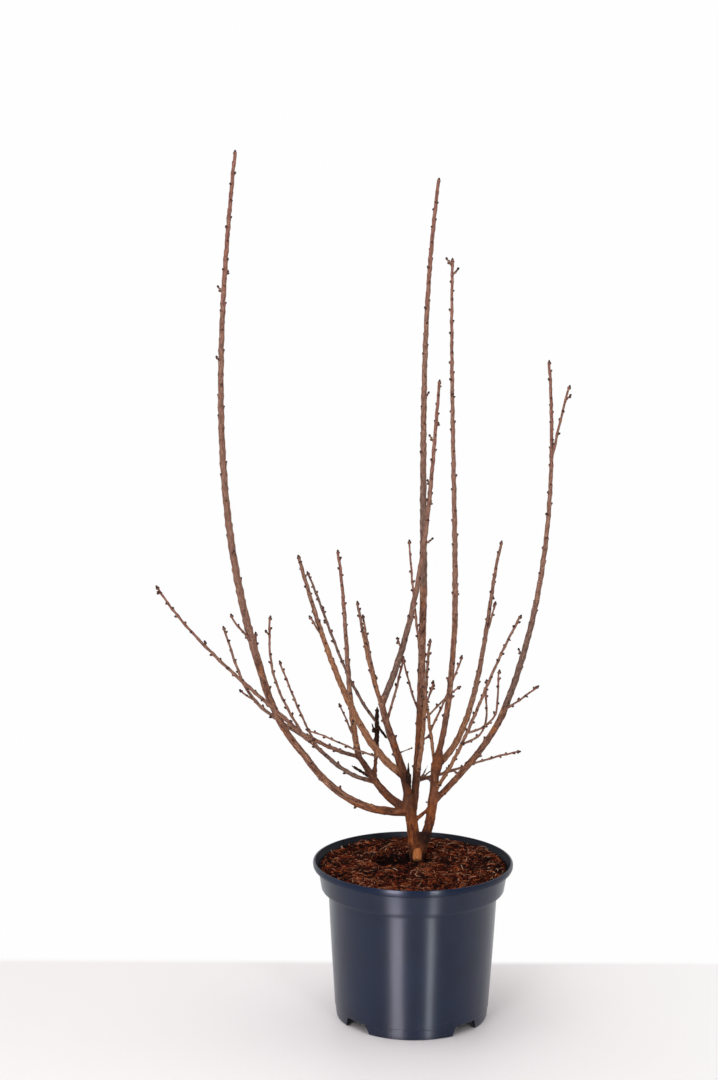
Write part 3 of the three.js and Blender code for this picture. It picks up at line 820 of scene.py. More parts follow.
FIBRE_SHARES = (0.30, 0.40, 0.23, 0.05, 0.02)
STRAND_SHARES = (0.28, 0.38, 0.24, 0.07, 0.03)
WISP_SHARES = (0.14, 0.22, 0.30, 0.22, 0.12)
scatter_strands("coir_fibres", 7600, 4, (3, 10), (0.24, 0.46), 0.30, 0.7, FIBRE_SHARES, 6.5)
scatter_strands("coir_strands", 3300, 5, (4, 13), (0.5, 1.0), 0.26, 0.9, STRAND_SHARES, 7.5)
scatter_strands("coir_wisps", 90, 9, (12, 21), (0.30, 0.55), 0.16, 3.4, WISP_SHARES, 10)

# %% Compost crumbs
start_clean()
bpy.ops.mesh.primitive_ico_sphere_add(subdivisions=1, radius=1)
pebble = bpy.context.object
pebble_points = np.array([vertex.co[:] for vertex in pebble.data.vertices])
pebble_triangles = np.array([face.vertices[:] for face in pebble.data.polygons])
bpy.data.objects.remove(pebble)
crumbs = Gatherer()
CRUMB_COUNT = 3600
CRUMB_SHARES = (0.52, 0.32, 0.11, 0.04, 0.01)
for index in range(CRUMB_COUNT):
    x, y = random_place(0.97)
    size = draw.uniform(0.4, 1.25) * draw.uniform(0.6, 1.2, 3)
    jitter = draw.uniform(0.75, 1.2, (len(pebble_points), 1))
    turned = np.array(Euler((draw.normal(0, 0.35), draw.normal(0, 0.35), draw.random() * 6.28)).to_matrix())
    finish = draw.choice(5, p=CRUMB_SHARES)
    if foot_distance(x, y) < 6:
        continue
    # In the hollow every crumb takes the black finish as painted shade.
    finish = 0 if hollow_distance(x, y) < HOLLOW_SHADE_REACH else in_clump(x, y, finish)
    stretch = (2.2, 0.9, 0.4) if index % 3 == 0 else (1.3, 1.0, 0.7)
    shape = (pebble_points * jitter * size * stretch) @ turned.T
    level = min(ground_level(x, y), SOIL_GROUND + 1.5)
    crumbs.add(shape + (x, y, level + 0.1), pebble_triangles, finish)
finish_piece(crumbs.build("coir_crumbs", smooth=False), ["soil"], COIR)

# %% [markdown]
# ## The limbs, by the rule of the solids
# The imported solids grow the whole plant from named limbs. Each limb is one cubic curve: it starts
# on its parent at a part of the parent's length, heads for one point, comes in past another and
# ends at its tip. The same limbs are written here again, in millimetres, so the fine bark lies
# exactly over the plain solids, and everything smaller can grow on from them. Each line names a
# limb and its parent, and gives where it leaves, its three points and its widths at foot and tip.

# %% Limbs
LIMBS = {}
SAMPLES = 200
GROUND_CUT = 144.3
THREAD_GAP = 61.7


def limb(name, parent, at, leaving, arriving, tip, widths):
    """Add a limb. Its curve is kept as many short steps with their distance from its foot.

    A limb that carries on from its parent's end shares its thread, so that the bark runs on too.
    """
    start = np.array((FOOT.x, FOOT.y, GROUND_CUT)) if parent is None else point_on(parent, at)
    part = np.linspace(0, 1, SAMPLES + 1)[:, None]
    points = (1 - part) ** 3 * start + 3 * (1 - part) ** 2 * part * np.array(leaving)
    points = points + 3 * (1 - part) * part ** 2 * np.array(arriving) + part ** 3 * np.array(tip)
    lengths = np.concatenate([[0], np.cumsum(np.linalg.norm(np.diff(points, axis=0), axis=1))])
    headings = np.gradient(points, axis=0)
    headings /= np.linalg.norm(headings, axis=1)[:, None]
    goes_on = parent is not None and at > 0.95
    LIMBS[name] = {
        "thread": LIMBS[parent]["thread"] if goes_on else len(LIMBS),
        "run": LIMBS[parent]["run"] + at * LIMBS[parent]["length"] if goes_on else 0.0,
        "points": points, "lengths": lengths, "headings": headings, "length": lengths[-1],
        "widths": widths, "parent": parent, "at": at, "number": len(LIMBS),
    }


def radius_at(name, distance):
    """The plain radius of a limb, at one distance along it or at many."""
    entry = LIMBS[name]
    return np.interp(distance, (0, entry["length"]), entry["widths"]) / 2


def bark_run(name, distance):
    """The place along a limb that its bark's pattern reads. It runs on from limb to limb."""
    entry = LIMBS[name]
    return distance + entry["run"] + THREAD_GAP * entry["thread"]


def point_on(name, part):
    """The point at a part of a limb's length."""
    entry = LIMBS[name]
    distance = part * entry["length"]
    return np.array([np.interp(distance, entry["lengths"], entry["points"][:, axis]) for axis in range(3)])


def along_limb(name, distances):
    """Points, headings and two directions across, at some distances along a limb."""
    entry = LIMBS[name]
    points, headings = (
        np.stack([np.interp(distances, entry["lengths"], entry[key][:, axis]) for axis in range(3)], 1)
        for key in ("points", "headings")
    )
    headings /= np.linalg.norm(headings, axis=1)[:, None]
    first = np.cross(headings, (0.0, 1.0, 0.0))
    first /= np.linalg.norm(first, axis=1)[:, None]
    return points, headings, first, np.cross(headings, first)

# %% The forked foot and the boughs
limb("stem_left", None, 0, [2, 12, 160], [0, 12, 176], [-4, 12, 197], [13, 10])
limb("stem_right", "stem_left", 0.12, [9, 12, 154], [9, 12, 162], [12, 12, 168], [11, 10])
limb("left_low", "stem_left", 0.9, [-44, 10, 186], [-79, 4, 212], [-101, 5, 246], [7.8, 7])
limb("left_rise", "left_low", 1, [-123, 4, 270], [-135, 6, 298], [-143, 9, 329], [6.9, 6.7])
limb("left_fork", "stem_left", 0.92, [-27, 20, 199], [-37, 33, 219], [-51, 21, 241], [9, 4.8])
limb("middle", "stem_left", 0.98, [-6, 14, 230], [-23, 14, 260], [-30, 14, 293], [8.4, 5.4])
limb("centre", "stem_left", 0.72, [8, 31, 246], [7, 48, 321], [9, 58, 389], [7.4, 5])
limb("right", "stem_right", 1, [20, 12, 193], [19, 12, 212], [20, 12, 237], [9.6, 7.4])
limb("right_inner", "right", 1, [32, -1, 279], [33, -14, 331], [35, -25, 375], [5.8, 4.8])
limb("right_arc", "right", 0.465, [41, 13, 223], [69, 20, 252], [82, 24, 280], [5.8, 4.8])
limb("dead_stub", "left_fork", 0.625, [-34, 33, 239], [-34, 37, 260], [-34, 42, 281], [4.8, 3.6])
STEMS = ["stem_left", "stem_right"]
BOUGHS = ["left_low", "left_rise", "left_fork", "middle", "centre", "right", "right_inner", "right_arc"]
print("stems and boughs:", len(LIMBS))

# %% The whips on the left
limb("left_whip", "left_rise", 1, [-192, 26, 480], [-182, 40, 640], [-166, 40, 796], [6.6, 2.2])
limb("left_whip_side", "left_whip", 0.04, [-154, 7, 360], [-163, 2, 366], [-168, -3, 379], [2.2, 1.6])
limb("left_whip_spur", "left_whip", 0.025, [-146, 15, 345], [-146, 18, 350], [-147, 22, 357], [2.2, 1.8])
limb("low_sweep", "left_fork", 0.58, [-70, 40, 217], [-79, 42, 238], [-107, 52, 255], [4.6, 3.6])
limb("low_sweep_tip", "low_sweep", 1, [-162, 65, 284], [-160, 65, 295], [-180, 74, 352], [3.5, 1.7])
limb("low_spur", "low_sweep_tip", 0.415, [-155, 59, 288], [-159, 57, 291], [-163, 53, 296], [1.8, 1.5])
limb("low_twig", "low_sweep", 0.74, [-104, 63, 263], [-116, 75, 290], [-127, 88, 316], [2, 1.6])
limb("front_sweep", "left_fork", 1, [-72, 8, 249], [-87, -3, 260], [-106, -15, 274], [4.2, 3.6])
limb("front_sweep_tip", "front_sweep", 1, [-144, -42, 317], [-199, -60, 364], [-229, -72, 417], [3.5, 1.7])
limb("front_twig", "front_sweep", 0.95, [-126, -27, 314], [-135, -30, 334], [-131, -38, 384], [2.2, 1.7])
limb("back_left", "left_fork", 1, [-64, 61, 293], [-62, 76, 360], [-72, 93, 423], [4.4, 1.9])
limb("back_left_twig", "back_left", 0.085, [-60, 28, 267], [-64, 23, 279], [-69, 18, 291], [1.7, 1.3])
limb("front_left", "middle", 0.31, [-55, -14, 256], [-90, -49, 385], [-105, -66, 444], [5, 1.9])
limb("front_left_twig", "front_left", 0.12, [-53, -9, 252], [-74, -17, 268], [-98, -22, 277], [1.7, 1.3])
limb("front_left_spur", "front_left", 0.68, [-89, -49, 376], [-91, -54, 382], [-95, -60, 389], [1.9, 1.6])
limb("stub_whip", "dead_stub", 0.815, [-65, 60, 301], [-81, 88, 358], [-101, 105, 400], [2.8, 1.8])

# %% The whips in the middle and on the right
limb("middle_top", "middle", 1, [-42, 21, 322], [-47, 28, 353], [-53, 36, 384], [3.6, 1.7])
limb("middle_twig", "middle_top", 0.095, [-39, 6, 328], [-44, -3, 354], [-48, -14, 381], [2.6, 1.7])
limb("middle_spur", "middle", 0.825, [-19, 22, 294], [-14, 29, 313], [-10, 36, 332], [2.3, 1.7])
limb("middle_whip", "middle", 1, [11, 35, 384], [13, 36, 490], [21, 40, 590], [4.4, 1.8])
limb("middle_whip_spur", "middle_whip", 0.18, [-14, 19, 347], [-15, 15, 352], [-16, 10, 356], [1.8, 1.5])
limb("centre_whip", "centre", 1, [8, 76, 516], [4, 86, 645], [20, 90, 773], [4.9, 2.2])
limb("centre_spur", "centre", 0.47, [-2, 43, 295], [-5, 46, 309], [-9, 50, 327], [2, 1.5])
limb("centre_low", "centre", 0.18, [12, 23, 263], [9, 17, 309], [14, 10, 354], [4, 1.8])
limb("centre_low_twig", "centre_low", 0.495, [12, 14, 295], [15, 10, 305], [17, 6, 316], [1.8, 1.5])
limb("centre_side", "centre", 0.175, [37, 36, 222], [68, 51, 233], [102, 66, 235], [2.6, 1.5])
limb("right_whip", "right_inner", 1, [34, -51, 482], [26, -60, 592], [27, -64, 703], [4.7, 1.9])
limb("right_thin", "right", 0.96, [10, 0, 308], [-2, -19, 380], [-7, -34, 453], [3, 1.6])
limb("right_thin_high", "right_thin", 0.23, [22, 9, 294], [31, 14, 302], [42, 20, 308], [1.7, 1.4])
limb("right_thin_low", "right_thin", 0.16, [26, 17, 291], [36, 22, 311], [44, 28, 335], [1.9, 1.5])
limb("right_back", "right", 0.97, [66, 40, 257], [69, 85, 377], [84, 98, 432], [4.6, 1.8])
limb("right_back_spur", "right_back", 0.61, [73, 71, 359], [75, 69, 368], [77, 66, 379], [1.8, 1.5])
limb("right_front", "right", 0.6, [50, -22, 266], [61, -52, 332], [90, -78, 394], [3.4, 1.7])
limb("right_front_high", "right_front", 0.305, [74, -28, 276], [62, -26, 296], [64, -30, 325], [1.9, 1.5])
limb("right_front_low", "right_front", 0.37, [81, -44, 290], [71, -44, 305], [74, -52, 339], [1.9, 1.5])
limb("arc_whip", "right_arc", 1, [125, 43, 383], [131, 48, 496], [123, 60, 607], [4.7, 1.9])
limb("arc_whip_twig", "arc_whip", 0.735, [131, 47, 541], [134, 43, 564], [140, 38, 586], [2.4, 1.8])
limb("arc_whip_low", "arc_whip", 0.015, [93, 16, 294], [103, 8, 303], [113, 2, 313], [1.9, 1.5])
print("all limbs:", len(LIMBS))

# %% [markdown]
# ## The masses, and how full the limbs are
# The frame joins the whips in masses, one node for each, so a table says which limbs a mass
# holds. In the photograph some limbs are fuller or thinner than their plain solids. A second
# table says by how much, as one factor or as one for the foot and one for the tip.

# %% The masses
MASSES = {
    "whip_left_leader": ["left_whip", "left_whip_side", "left_whip_spur"],
    "whips_left_low": ["low_sweep", "low_sweep_tip", "low_spur", "low_twig"],
    "whips_left_front": ["front_sweep", "front_sweep_tip", "front_twig"],
    "whips_left_back": ["back_left", "back_left_twig"],
    "whips_front_left": ["front_left", "front_left_twig", "front_left_spur"],
    "whip_dead_stub": ["stub_whip"],
    "whips_middle": ["middle_top", "middle_twig"],
    "whip_middle_spur": ["middle_spur"],
    "whip_middle_tall": ["middle_whip", "middle_whip_spur"],
    "whip_centre_leader": ["centre_whip"],
    "whip_centre_spur": ["centre_spur"],
    "whips_centre_low": ["centre_low", "centre_low_twig"],
    "whip_centre_side": ["centre_side"],
    "whip_right_leader": ["right_whip"],
    "whips_right_thin": ["right_thin", "right_thin_high", "right_thin_low"],
    "whips_right_back": ["right_back", "right_back_spur"],
    "whips_right_front": ["right_front", "right_front_high", "right_front_low"],
    "whips_right_arc": ["arc_whip", "arc_whip_twig", "arc_whip_low"],
}
SIDES_OF_PLANT = {
    "left": list(MASSES)[:6],
    "middle": list(MASSES)[6:13],
    "right": list(MASSES)[13:],
}
WHIP_FULLNESS = 1.08
FULLNESS = {
    "centre_whip": 1.38, "middle_whip": 1.38, "arc_whip": 1.30, "front_left": 1.46, "left_whip": (1.07, 1.36),
    "back_left": 1.30, "right_whip": 1.10, "right_back": 1.38, "right_thin": 1.0, "middle_top": 1.16,
    "front_sweep": 0.88, "low_sweep": 0.90, "left_low": 0.92, "left_rise": 1.05, "left_fork": 1.08,
    "middle": 1.10, "centre": 1.34, "right": 1.0, "right_inner": 1.07, "right_arc": 1.27,
}


def fullness(name, usual):
    """How much fuller a limb is than its solid, at its foot and at its tip."""
    value = FULLNESS.get(name, usual)
    return value if isinstance(value, tuple) else (value, value)


print("masses of whips:", len(MASSES))

# %% [markdown]
# ## The rule of growth
# Buds stand round a shoot in turn, a fixed turn apart, one at each node. Here and there a node
# carries a short spur in place of a bud, and every shoot ends in a bud. The rule draws its numbers
# from a seed, the same way as the solids do, so it gives the same plant every time. Only the
# step between nodes is finer here, as on the real shoots. What would touch another limb is
# skipped.

# %% Growth rule
BUD_PITCH = 9.8
BOUGH_PITCH = 19.0
BUD_LENGTH = 3.3
BUD_WIDTH = 2.25
BUD_TURN = 144
BARE_FOOT = 9
BUD_SEAT = 0.78
SPUR_CHANCE = 0.06
CLEARANCE = 0.6
FIRST_SEED = 100


def seeded(seed):
    """Random numbers from a seed, the same on every run."""
    state = seed

    def number():
        nonlocal state
        state = (state * 1664525 + 1013904223) & 0xFFFFFFFF
        return state / 4294967296

    return number


print("growth rule:", BUD_PITCH, "mm from bud to bud, turned by", BUD_TURN, "degrees")

# %% Room round the limbs and nodes on them
wood_points, wood_reach, wood_owner = [], [], []
for name, entry in LIMBS.items():
    steps = np.linspace(0, entry["length"], math.ceil(entry["length"] / 4) + 1)
    wood_points.append(along_limb(name, steps)[0])
    wood_reach.append(radius_at(name, steps))
    wood_owner += [name] * len(steps)
wood_points = np.concatenate(wood_points)
wood_reach = np.concatenate(wood_reach)
wood_owner = np.array(wood_owner)


def is_clear(point, reach, own):
    """True where a point keeps clear of every other limb."""
    away = np.linalg.norm(wood_points - point, axis=1) - wood_reach
    return bool(np.all((away > reach + CLEARANCE) | (wood_owner == own)))


def nodes_on(name, random, pitch):
    """The nodes of one shoot, from its foot to its tip."""
    entry = LIMBS[name]
    found = []
    angle = random() * 360
    distance = BARE_FOOT + random() * pitch * 0.5
    while distance < entry["length"] - pitch * 0.35:
        size = 0.8 + 0.3 * random()
        spur = random() < SPUR_CHANCE
        found.append({"distance": distance, "angle": math.radians(angle), "size": size, "spur": spur})
        angle += BUD_TURN
        distance += pitch * (1.12 - 0.35 * distance / entry["length"]) * (0.72 + 0.56 * random())
    return found


def seat_of(name, node):
    """A node's point on its limb, the heading there, the way outward and the limb's radius."""
    point, heading, first, second = (values[0] for values in along_limb(name, [node["distance"]]))
    outward = first * math.cos(node["angle"]) + second * math.sin(node["angle"])
    return point, heading, outward, radius_at(name, node["distance"])


print("points on wood:", len(wood_points))

# %% [markdown]
# ## Bark finishes
# The stems carry grey-brown bark with ochre and orange where thin skins have come away. The same
# orange is painted at a few listed places as a highlight, where stems and boughs catch the lamps.
# The boughs are darker and smoother, and round the forks and in the splits the bark is painted
# darker as shade. The one-year whips go from brown at the foot to red-brown at the tip, with a faint
# down. On the joined whips a colour that has a place is dealt out as a plain finish, and only the
# fine streaks come from noise. The streaks run with the limb, so they read a coordinate that every
# vertex carries: round the limb and along it. Where two limbs meet, their coordinates don't fit
# together, so the old bark's noise changes over to the plain place there.

# %% Old bark finish
old_bark = Finish("peeling_bark", 0.82, specular=0.06)
limb_space = old_bark.attribute("limb_space")
drawn_out = old_bark.stretched((1.0, 1.0, 0.32), limb_space)
by_place = old_bark.stretched((1000.0, 1000.0, 320.0))
relief_parts = old_bark.node("SeparateXYZ", vector=old_bark.attribute("relief"))
seam_share = relief_parts.outputs["Y"]
bark_height = old_bark.node("SeparateXYZ", vector=old_bark.place).outputs["Z"]
away_share = old_bark.total(1.0, seam_share, "SUBTRACT")


def bark_noise(scale, detail=5.0, roughness=0.6):
    """Noise that follows each limb, and near a seam between two limbs follows the place instead."""
    along = old_bark.product(old_bark.noise(scale, detail, roughness, drawn_out), away_share)
    across = old_bark.product(old_bark.noise(scale, detail, roughness, by_place), seam_share)
    return old_bark.total(along, across)


plates = bark_noise(0.42)
bark_base = old_bark.ramp(plates, [
    (0.30, colour(67, 43, 36)), (0.44, colour(108, 74, 60)), (0.56, colour(136, 97, 78)),
    (0.70, colour(168, 127, 104)),
])


def close_to(x, y, z, reach):
    """A mask that is 1 near a place, given in millimetres, and 0 beyond its reach."""
    away = old_bark.node("VectorMath", operation="DISTANCE")
    old_bark.feed(away.inputs[0], old_bark.place)
    away.inputs[1].default_value = (x * MM, y * MM, z * MM)
    return old_bark.span(away.outputs["Value"], reach * MM, reach * 0.35 * MM, 0.0, 1.0)


low_on_plant = old_bark.span(bark_height, 0.225, 0.150)
patches = bark_noise(0.16)
shifted = old_bark.total(patches, old_bark.product(low_on_plant, 0.13))
peeled_and_lit = old_bark.span(shifted, 0.58, 0.65)
loose = old_bark.span(plates, 0.42, 0.56, 0.25, 1.0)
# Listed places where the orange under the skin shows. Some are real bare patches, and some are a painted
# highlight where the stems and boughs catch the lamps.
PEELED_AND_LIT_PLACES = [
    (9, 30, 274, 15), (10, 30, 256, 14), (1, 8, 214, 9), (21, 8, 241, 12), (16, 6, 188, 24),
    (-3, 5, 178, 20),
]
for x, y, z, reach in PEELED_AND_LIT_PLACES:
    peeled_and_lit = old_bark.total(peeled_and_lit, old_bark.product(close_to(x, y, z, reach), loose), "MAXIMUM")
under_skin_and_highlight = old_bark.ramp(bark_noise(0.8, 3.0), [
    (0.3, colour(128, 68, 30)), (0.7, colour(182, 114, 60)),
])
bark_tone = old_bark.mixed(old_bark.product(peeled_and_lit, 0.62), bark_base, under_skin_and_highlight)
# The bark is painted darker in its deep splits, as shade.
crevice_shade = old_bark.span(relief_parts.outputs["X"], -0.25, -0.9, 0.0, 0.7)
bark_tone = old_bark.mixed(crevice_shade, bark_tone, colour(34, 20, 15))
print("bark: plates and peeling skins")

# %% Old bark by its place
warm_heart = old_bark.product(close_to(0, 20, 224, 64), 0.9)
bark_tone = old_bark.mixed(warm_heart, bark_tone, (0.95, 0.70, 0.50, 1.0), "MULTIPLY")
warm_foot = old_bark.ramp(plates, [
    (0.34, colour(60, 24, 8)), (0.5, colour(116, 56, 22)), (0.66, colour(174, 98, 44)),
])
foot_zone = old_bark.span(bark_height, 0.205, 0.168, 0.0, 0.85)
bark_tone = old_bark.mixed(foot_zone, bark_tone, warm_foot)
# Places round the forks and in the crotch between the stems, where the bark is painted darker as shade.
PAINTED_SHADE_PLACES = [
    (-10, 16, 212, 34, 0.9), (6, 28, 252, 72, 0.6), (12, 9, 167, 13, 1.9), (-5, 6, 222, 10, 1.3),
    (-44, 27, 238, 30, 0.9),
]
for x, y, z, reach, depth in PAINTED_SHADE_PLACES:
    fork_shade = old_bark.product(close_to(x, y, z, reach), old_bark.product(plates, depth))
    bark_tone = old_bark.mixed(fork_shade, bark_tone, colour(34, 14, 8))
flecks = old_bark.span(old_bark.noise(2.6, detail=3.0, roughness=0.7, source=limb_space), 0.62, 0.72)
bark_tone = old_bark.mixed(old_bark.product(flecks, 0.3), bark_tone, colour(168, 146, 130))
# The bark is made darker towards the ground, nearly black just above the compost.
darker_near_ground = old_bark.span(bark_height, 0.162, 0.147, 0.0, 0.9)
old_bark.paint(old_bark.mixed(darker_near_ground, bark_tone, colour(30, 13, 8)))
fine_lines = old_bark.noise(3.2, detail=4.0, roughness=0.7, source=drawn_out)
old_bark.bump(fine_lines, 0.0005, 0.7)
print("finish:", old_bark.material.name)

# %% Young bark finishes
def young_finish(name, dark, main, light):
    """Smooth young bark: fine lengthwise streaks and small pale pores over one main colour."""
    made = Finish(name, 0.66, specular=0.12)
    space = made.attribute("limb_space")
    streaky = made.noise(1.1, detail=4.0, roughness=0.6, source=made.stretched((1.0, 1.0, 0.18), space))
    tone = made.ramp(streaky, [(0.30, dark), (0.5, main), (0.72, light)])
    pores = made.span(made.cells(1.0, source=made.stretched((1.0, 1.0, 0.8), space)), 0.16, 0.10)
    made.paint(made.mixed(made.product(pores, 0.45), tone, light))
    made.bump(made.total(streaky, made.product(pores, 0.5)), 0.0003, 0.6)
    return made


YOUNG = [
    young_finish("young_grey", colour(73, 51, 43), colour(104, 77, 65), colour(135, 106, 90)),
    young_finish("young_brown", colour(87, 56, 45), colour(124, 88, 72), colour(156, 118, 98)),
    young_finish("young_orange", colour(99, 60, 40), colour(136, 92, 65), colour(170, 125, 92)),
    young_finish("young_red", colour(89, 54, 45), colour(127, 83, 69), colour(162, 118, 99)),
]
print("young finishes:", len(YOUNG))

# %% Bud and dead wood finishes
def bud_finish(name, base, tip):
    """Papery bud scales in two near colours."""
    made = Finish(name, 0.7, specular=0.15)
    made.paint(made.ramp(made.noise(900.0, detail=3.0), [(0.35, base), (0.7, tip)]))
    made.bump(made.noise(2400.0, detail=2.0), 0.0002, 0.6)
    return made


BUDS = [
    bud_finish("bud_dark", colour(44, 25, 20), colour(80, 48, 38)),
    bud_finish("bud_brown", colour(84, 48, 36), colour(124, 76, 57)),
]
weathered = Finish("weathered_wood", 0.9, specular=0.03)
weathered_space = weathered.stretched((1.0, 1.0, 0.3))
weathered_grain = weathered.noise(900.0, detail=4.0, roughness=0.65, source=weathered_space)
weathered.paint(weathered.ramp(weathered_grain, [
    (0.35, colour(52, 34, 28)), (0.5, colour(96, 68, 56)), (0.7, colour(140, 108, 92)),
]))
weathered.bump(weathered_grain, 0.0004, 0.6)
dead = Finish("blackened_wood", 0.9, specular=0.03)
dead_space = dead.stretched((1.0, 1.0, 0.3), dead.attribute("limb_space"))
dead_grain = dead.noise(1.4, detail=5.0, roughness=0.7, source=dead_space)
dead.paint(dead.ramp(dead_grain, [
    (0.35, colour(26, 16, 12)), (0.55, colour(52, 34, 26)), (0.75, colour(94, 66, 50)),
]))
dead.bump(dead_grain, 0.0008, 0.8)
print("buds and dead wood finished")

# %% [markdown]
# ## Bark with relief over trunk and boughs
# The stems and boughs are one grown thing: at every fork the bark flows round without a seam. So
# their tubes are overlapped, melted into one skin with a voxel remesh, and smoothed a little,
# which rounds the crotches. A short sleeve round the foot of each whip joins in, so that the whip
# grows out of the bark, and so do knots at the forks and toes at the ground. Then each vertex is
# asked for its nearest limb. That gives it a place round and along that limb, and a rule pushes
# it in or out: plates, splits that run lengthwise, and small knobs where old buds stood. Near a
# seam between two limbs the push is averaged with the neighbours'.

# %% Tubes along a limb
def limb_tube(name, step, sides, swell=None, before=0.0, base_flare=0.25):
    """A limb as rings of points. Swell may give an extra radius by distance and angle."""
    entry = LIMBS[name]
    length = entry["length"]
    distances = np.linspace(0, length, max(4, round(length / step)))
    points, headings, first, second = along_limb(name, distances)
    if before:
        points[0] = points[0] - headings[0] * before
    foot_width = entry["widths"][0]
    radius = radius_at(name, distances) * (1 + base_flare * np.exp(-distances / (0.8 * foot_width)))
    turn = np.linspace(0, 2 * math.pi, sides, endpoint=False)
    extra = np.zeros((len(distances), sides)) if swell is None else swell(distances[:, None], turn[None, :])
    girth = radius[:, None] + extra
    ring = first[:, None, :] * np.cos(turn)[None, :, None] + second[:, None, :] * np.sin(turn)[None, :, None]
    wall = points[:, None, :] + ring * girth[:, :, None]
    foot_point = points[:1] - headings[:1] * 0.2
    tip_point = points[-1:] + headings[-1:] * radius[-1] * 0.45
    cloud = np.concatenate([wall.reshape(-1, 3), foot_point, tip_point])
    space_turn = np.broadcast_to(turn, girth.shape)
    space = np.stack([
        np.cos(space_turn) * radius[:, None], np.sin(space_turn) * radius[:, None],
        bark_run(name, np.broadcast_to(distances[:, None], girth.shape)),
    ], 2).reshape(-1, 3)
    space = np.concatenate([space, space[:1], space[-1:]])
    return cloud, tube_triangles(len(distances), sides), space, distances


def bough_swell(name):
    """The extra radius of a bough, which grows along it until it meets its fuller whip."""
    entry = LIMBS[name]

    def swell(distance, turn):
        at_foot = fullness(entry["parent"], 1.0)[1] if entry["at"] == 1 else 1.0
        at_tip = fullness(name, 1.0)[1]
        fuller = at_foot + (at_tip - at_foot) * (distance / entry["length"]) - 1
        return fuller * radius_at(name, distance) + 0 * turn

    return swell


print("limb tubes ready")

# %% Straight tubes and one skin
def straight_tube(start, end, widths, sides=12, steps=5):
    """A straight tapering tube between two points."""
    start, end = np.array(start, float), np.array(end, float)
    heading = (end - start) / np.linalg.norm(end - start)
    first = np.cross(heading, (0.0, 1.0, 0.0))
    first /= np.linalg.norm(first)
    second = np.cross(heading, first)
    part = np.linspace(0, 1, steps)
    turn = np.linspace(0, 2 * math.pi, sides, endpoint=False)
    girth = np.interp(part, np.linspace(0, 1, len(widths)), widths) / 2
    centre = start + (end - start) * part[:, None]
    ring = first * np.cos(turn)[:, None] + second * np.sin(turn)[:, None]
    wall = centre[:, None, :] + ring[None, :, :] * girth[:, None, None]
    cloud = np.concatenate([wall.reshape(-1, 3), start[None] - heading * 0.2, end[None] + heading * 0.4])
    return cloud, tube_triangles(steps, sides)


def melt(piece, voxel, rounds):
    """Melt overlapping tubes into one skin of even small faces, and smooth it a little."""
    apply_modifier(piece, "REMESH", mode="VOXEL", voxel_size=voxel * MM, adaptivity=0.0)
    apply_modifier(piece, "SMOOTH", factor=0.5, iterations=rounds)


print("straight tubes ready")

# %% Sleeves, knots and toes
SLEEVE = 11.0
NOT_SLEEVED = STEMS + BOUGHS + ["dead_stub"]
SLEEVED = [
    name for name, entry in LIMBS.items()
    if entry["parent"] in STEMS + BOUGHS and name not in NOT_SLEEVED
]
old_wood = Gatherer()
for name in SLEEVED:
    entry = LIMBS[name]
    whip_width = entry["widths"][0] * fullness(name, WHIP_FULLNESS)[0]
    points, headings, first, second = along_limb(name, [0, 3, 7, SLEEVE])
    points[0] -= headings[0] * 1.5
    swells = (1.03, 1.03, 1.01, 0.86) if entry["at"] == 1 else (1.35, 1.22, 1.08, 0.86)
    for near in range(3):
        ends = (whip_width * swells[near] + 0.3, whip_width * swells[near + 1] + 0.3)
        start = points[near] - headings[near] * 0.3
        old_wood.add(*straight_tube(start, points[near + 1], ends, sides=14, steps=3), 0)
for name in STEMS + BOUGHS:
    first_ring_back = 9.0 if name == "stem_left" else 1.5
    flare = 0.0 if LIMBS[name]["at"] == 1 else 0.08 if name in STEMS else 0.25
    cloud, triangles, _, _ = limb_tube(name, 2.5, 20, bough_swell(name), first_ring_back, flare)
    old_wood.add(cloud, triangles, 0)
KNOTS = [
    (point_on("right", 0.78), point_on("right_inner", 0.12), (7, 8.8, 10.4, 10.0, 8.0, 5)),
    (point_on("stem_left", 0.86), point_on("middle", 0.12), (8, 11.4, 12.4, 11.0, 8)),
    (point_on("right", 0.36), point_on("right", 0.62), (8, 9.8, 9.8, 8)),
    (point_on("middle", 0.26), point_on("middle", 0.46), (6, 8.4, 8.2, 6)),
    (point_on("stem_left", 0.72), point_on("centre", 0.14), (6, 8.6, 8.0, 6)),
    ((3.0, 12, 183), (17, 12, 197), (4.2, 3.0, 3.8)),
    (point_on("middle", 0.46), (-16.1, 8.5, 259.5), (3.4, 3.0, 2.0, 1.0)),
]
for start, end, widths in KNOTS:
    old_wood.add(*straight_tube(start, end, widths, sides=14, steps=9), 0)
TOE_DEPTH = 8.0
ROOT_TOES = [(-100, 5, 15, 8), (20, 7, 11, 6), (95, 7, 13, 6), (175, 6, 10, 6)]
for turn, spread, rise, width in ROOT_TOES:
    start = (FOOT.x, FOOT.y, GROUND_CUT + rise)
    toe = (
        FOOT.x + spread * math.cos(math.radians(turn)),
        FOOT.y + spread * math.sin(math.radians(turn)),
        GROUND_CUT - TOE_DEPTH,
    )
    old_wood.add(*straight_tube(start, toe, (width * 0.6, width)), 0)
bark = old_wood.build("bark_of_trunk_and_boughs")
melt(bark, 0.62, 5)
print("bark skin has", len(bark.data.vertices), "vertices")

# %% Lines of the limbs
axis_points, axis_facts = [], []
for name in STEMS + BOUGHS + SLEEVED:
    entry = LIMBS[name]
    distances = np.arange(0, SLEEVE if name in SLEEVED else entry["length"], 1.0)
    points, headings, first, second = along_limb(name, distances)
    radii = radius_at(name, distances)
    for index in range(len(distances)):
        axis_points.append(points[index])
        axis_facts.append((name, distances[index], first[index], second[index], radii[index]))
axis_tree = KDTree(len(axis_points))
for index, point in enumerate(axis_points):
    axis_tree.insert(point, index)
axis_tree.balance()

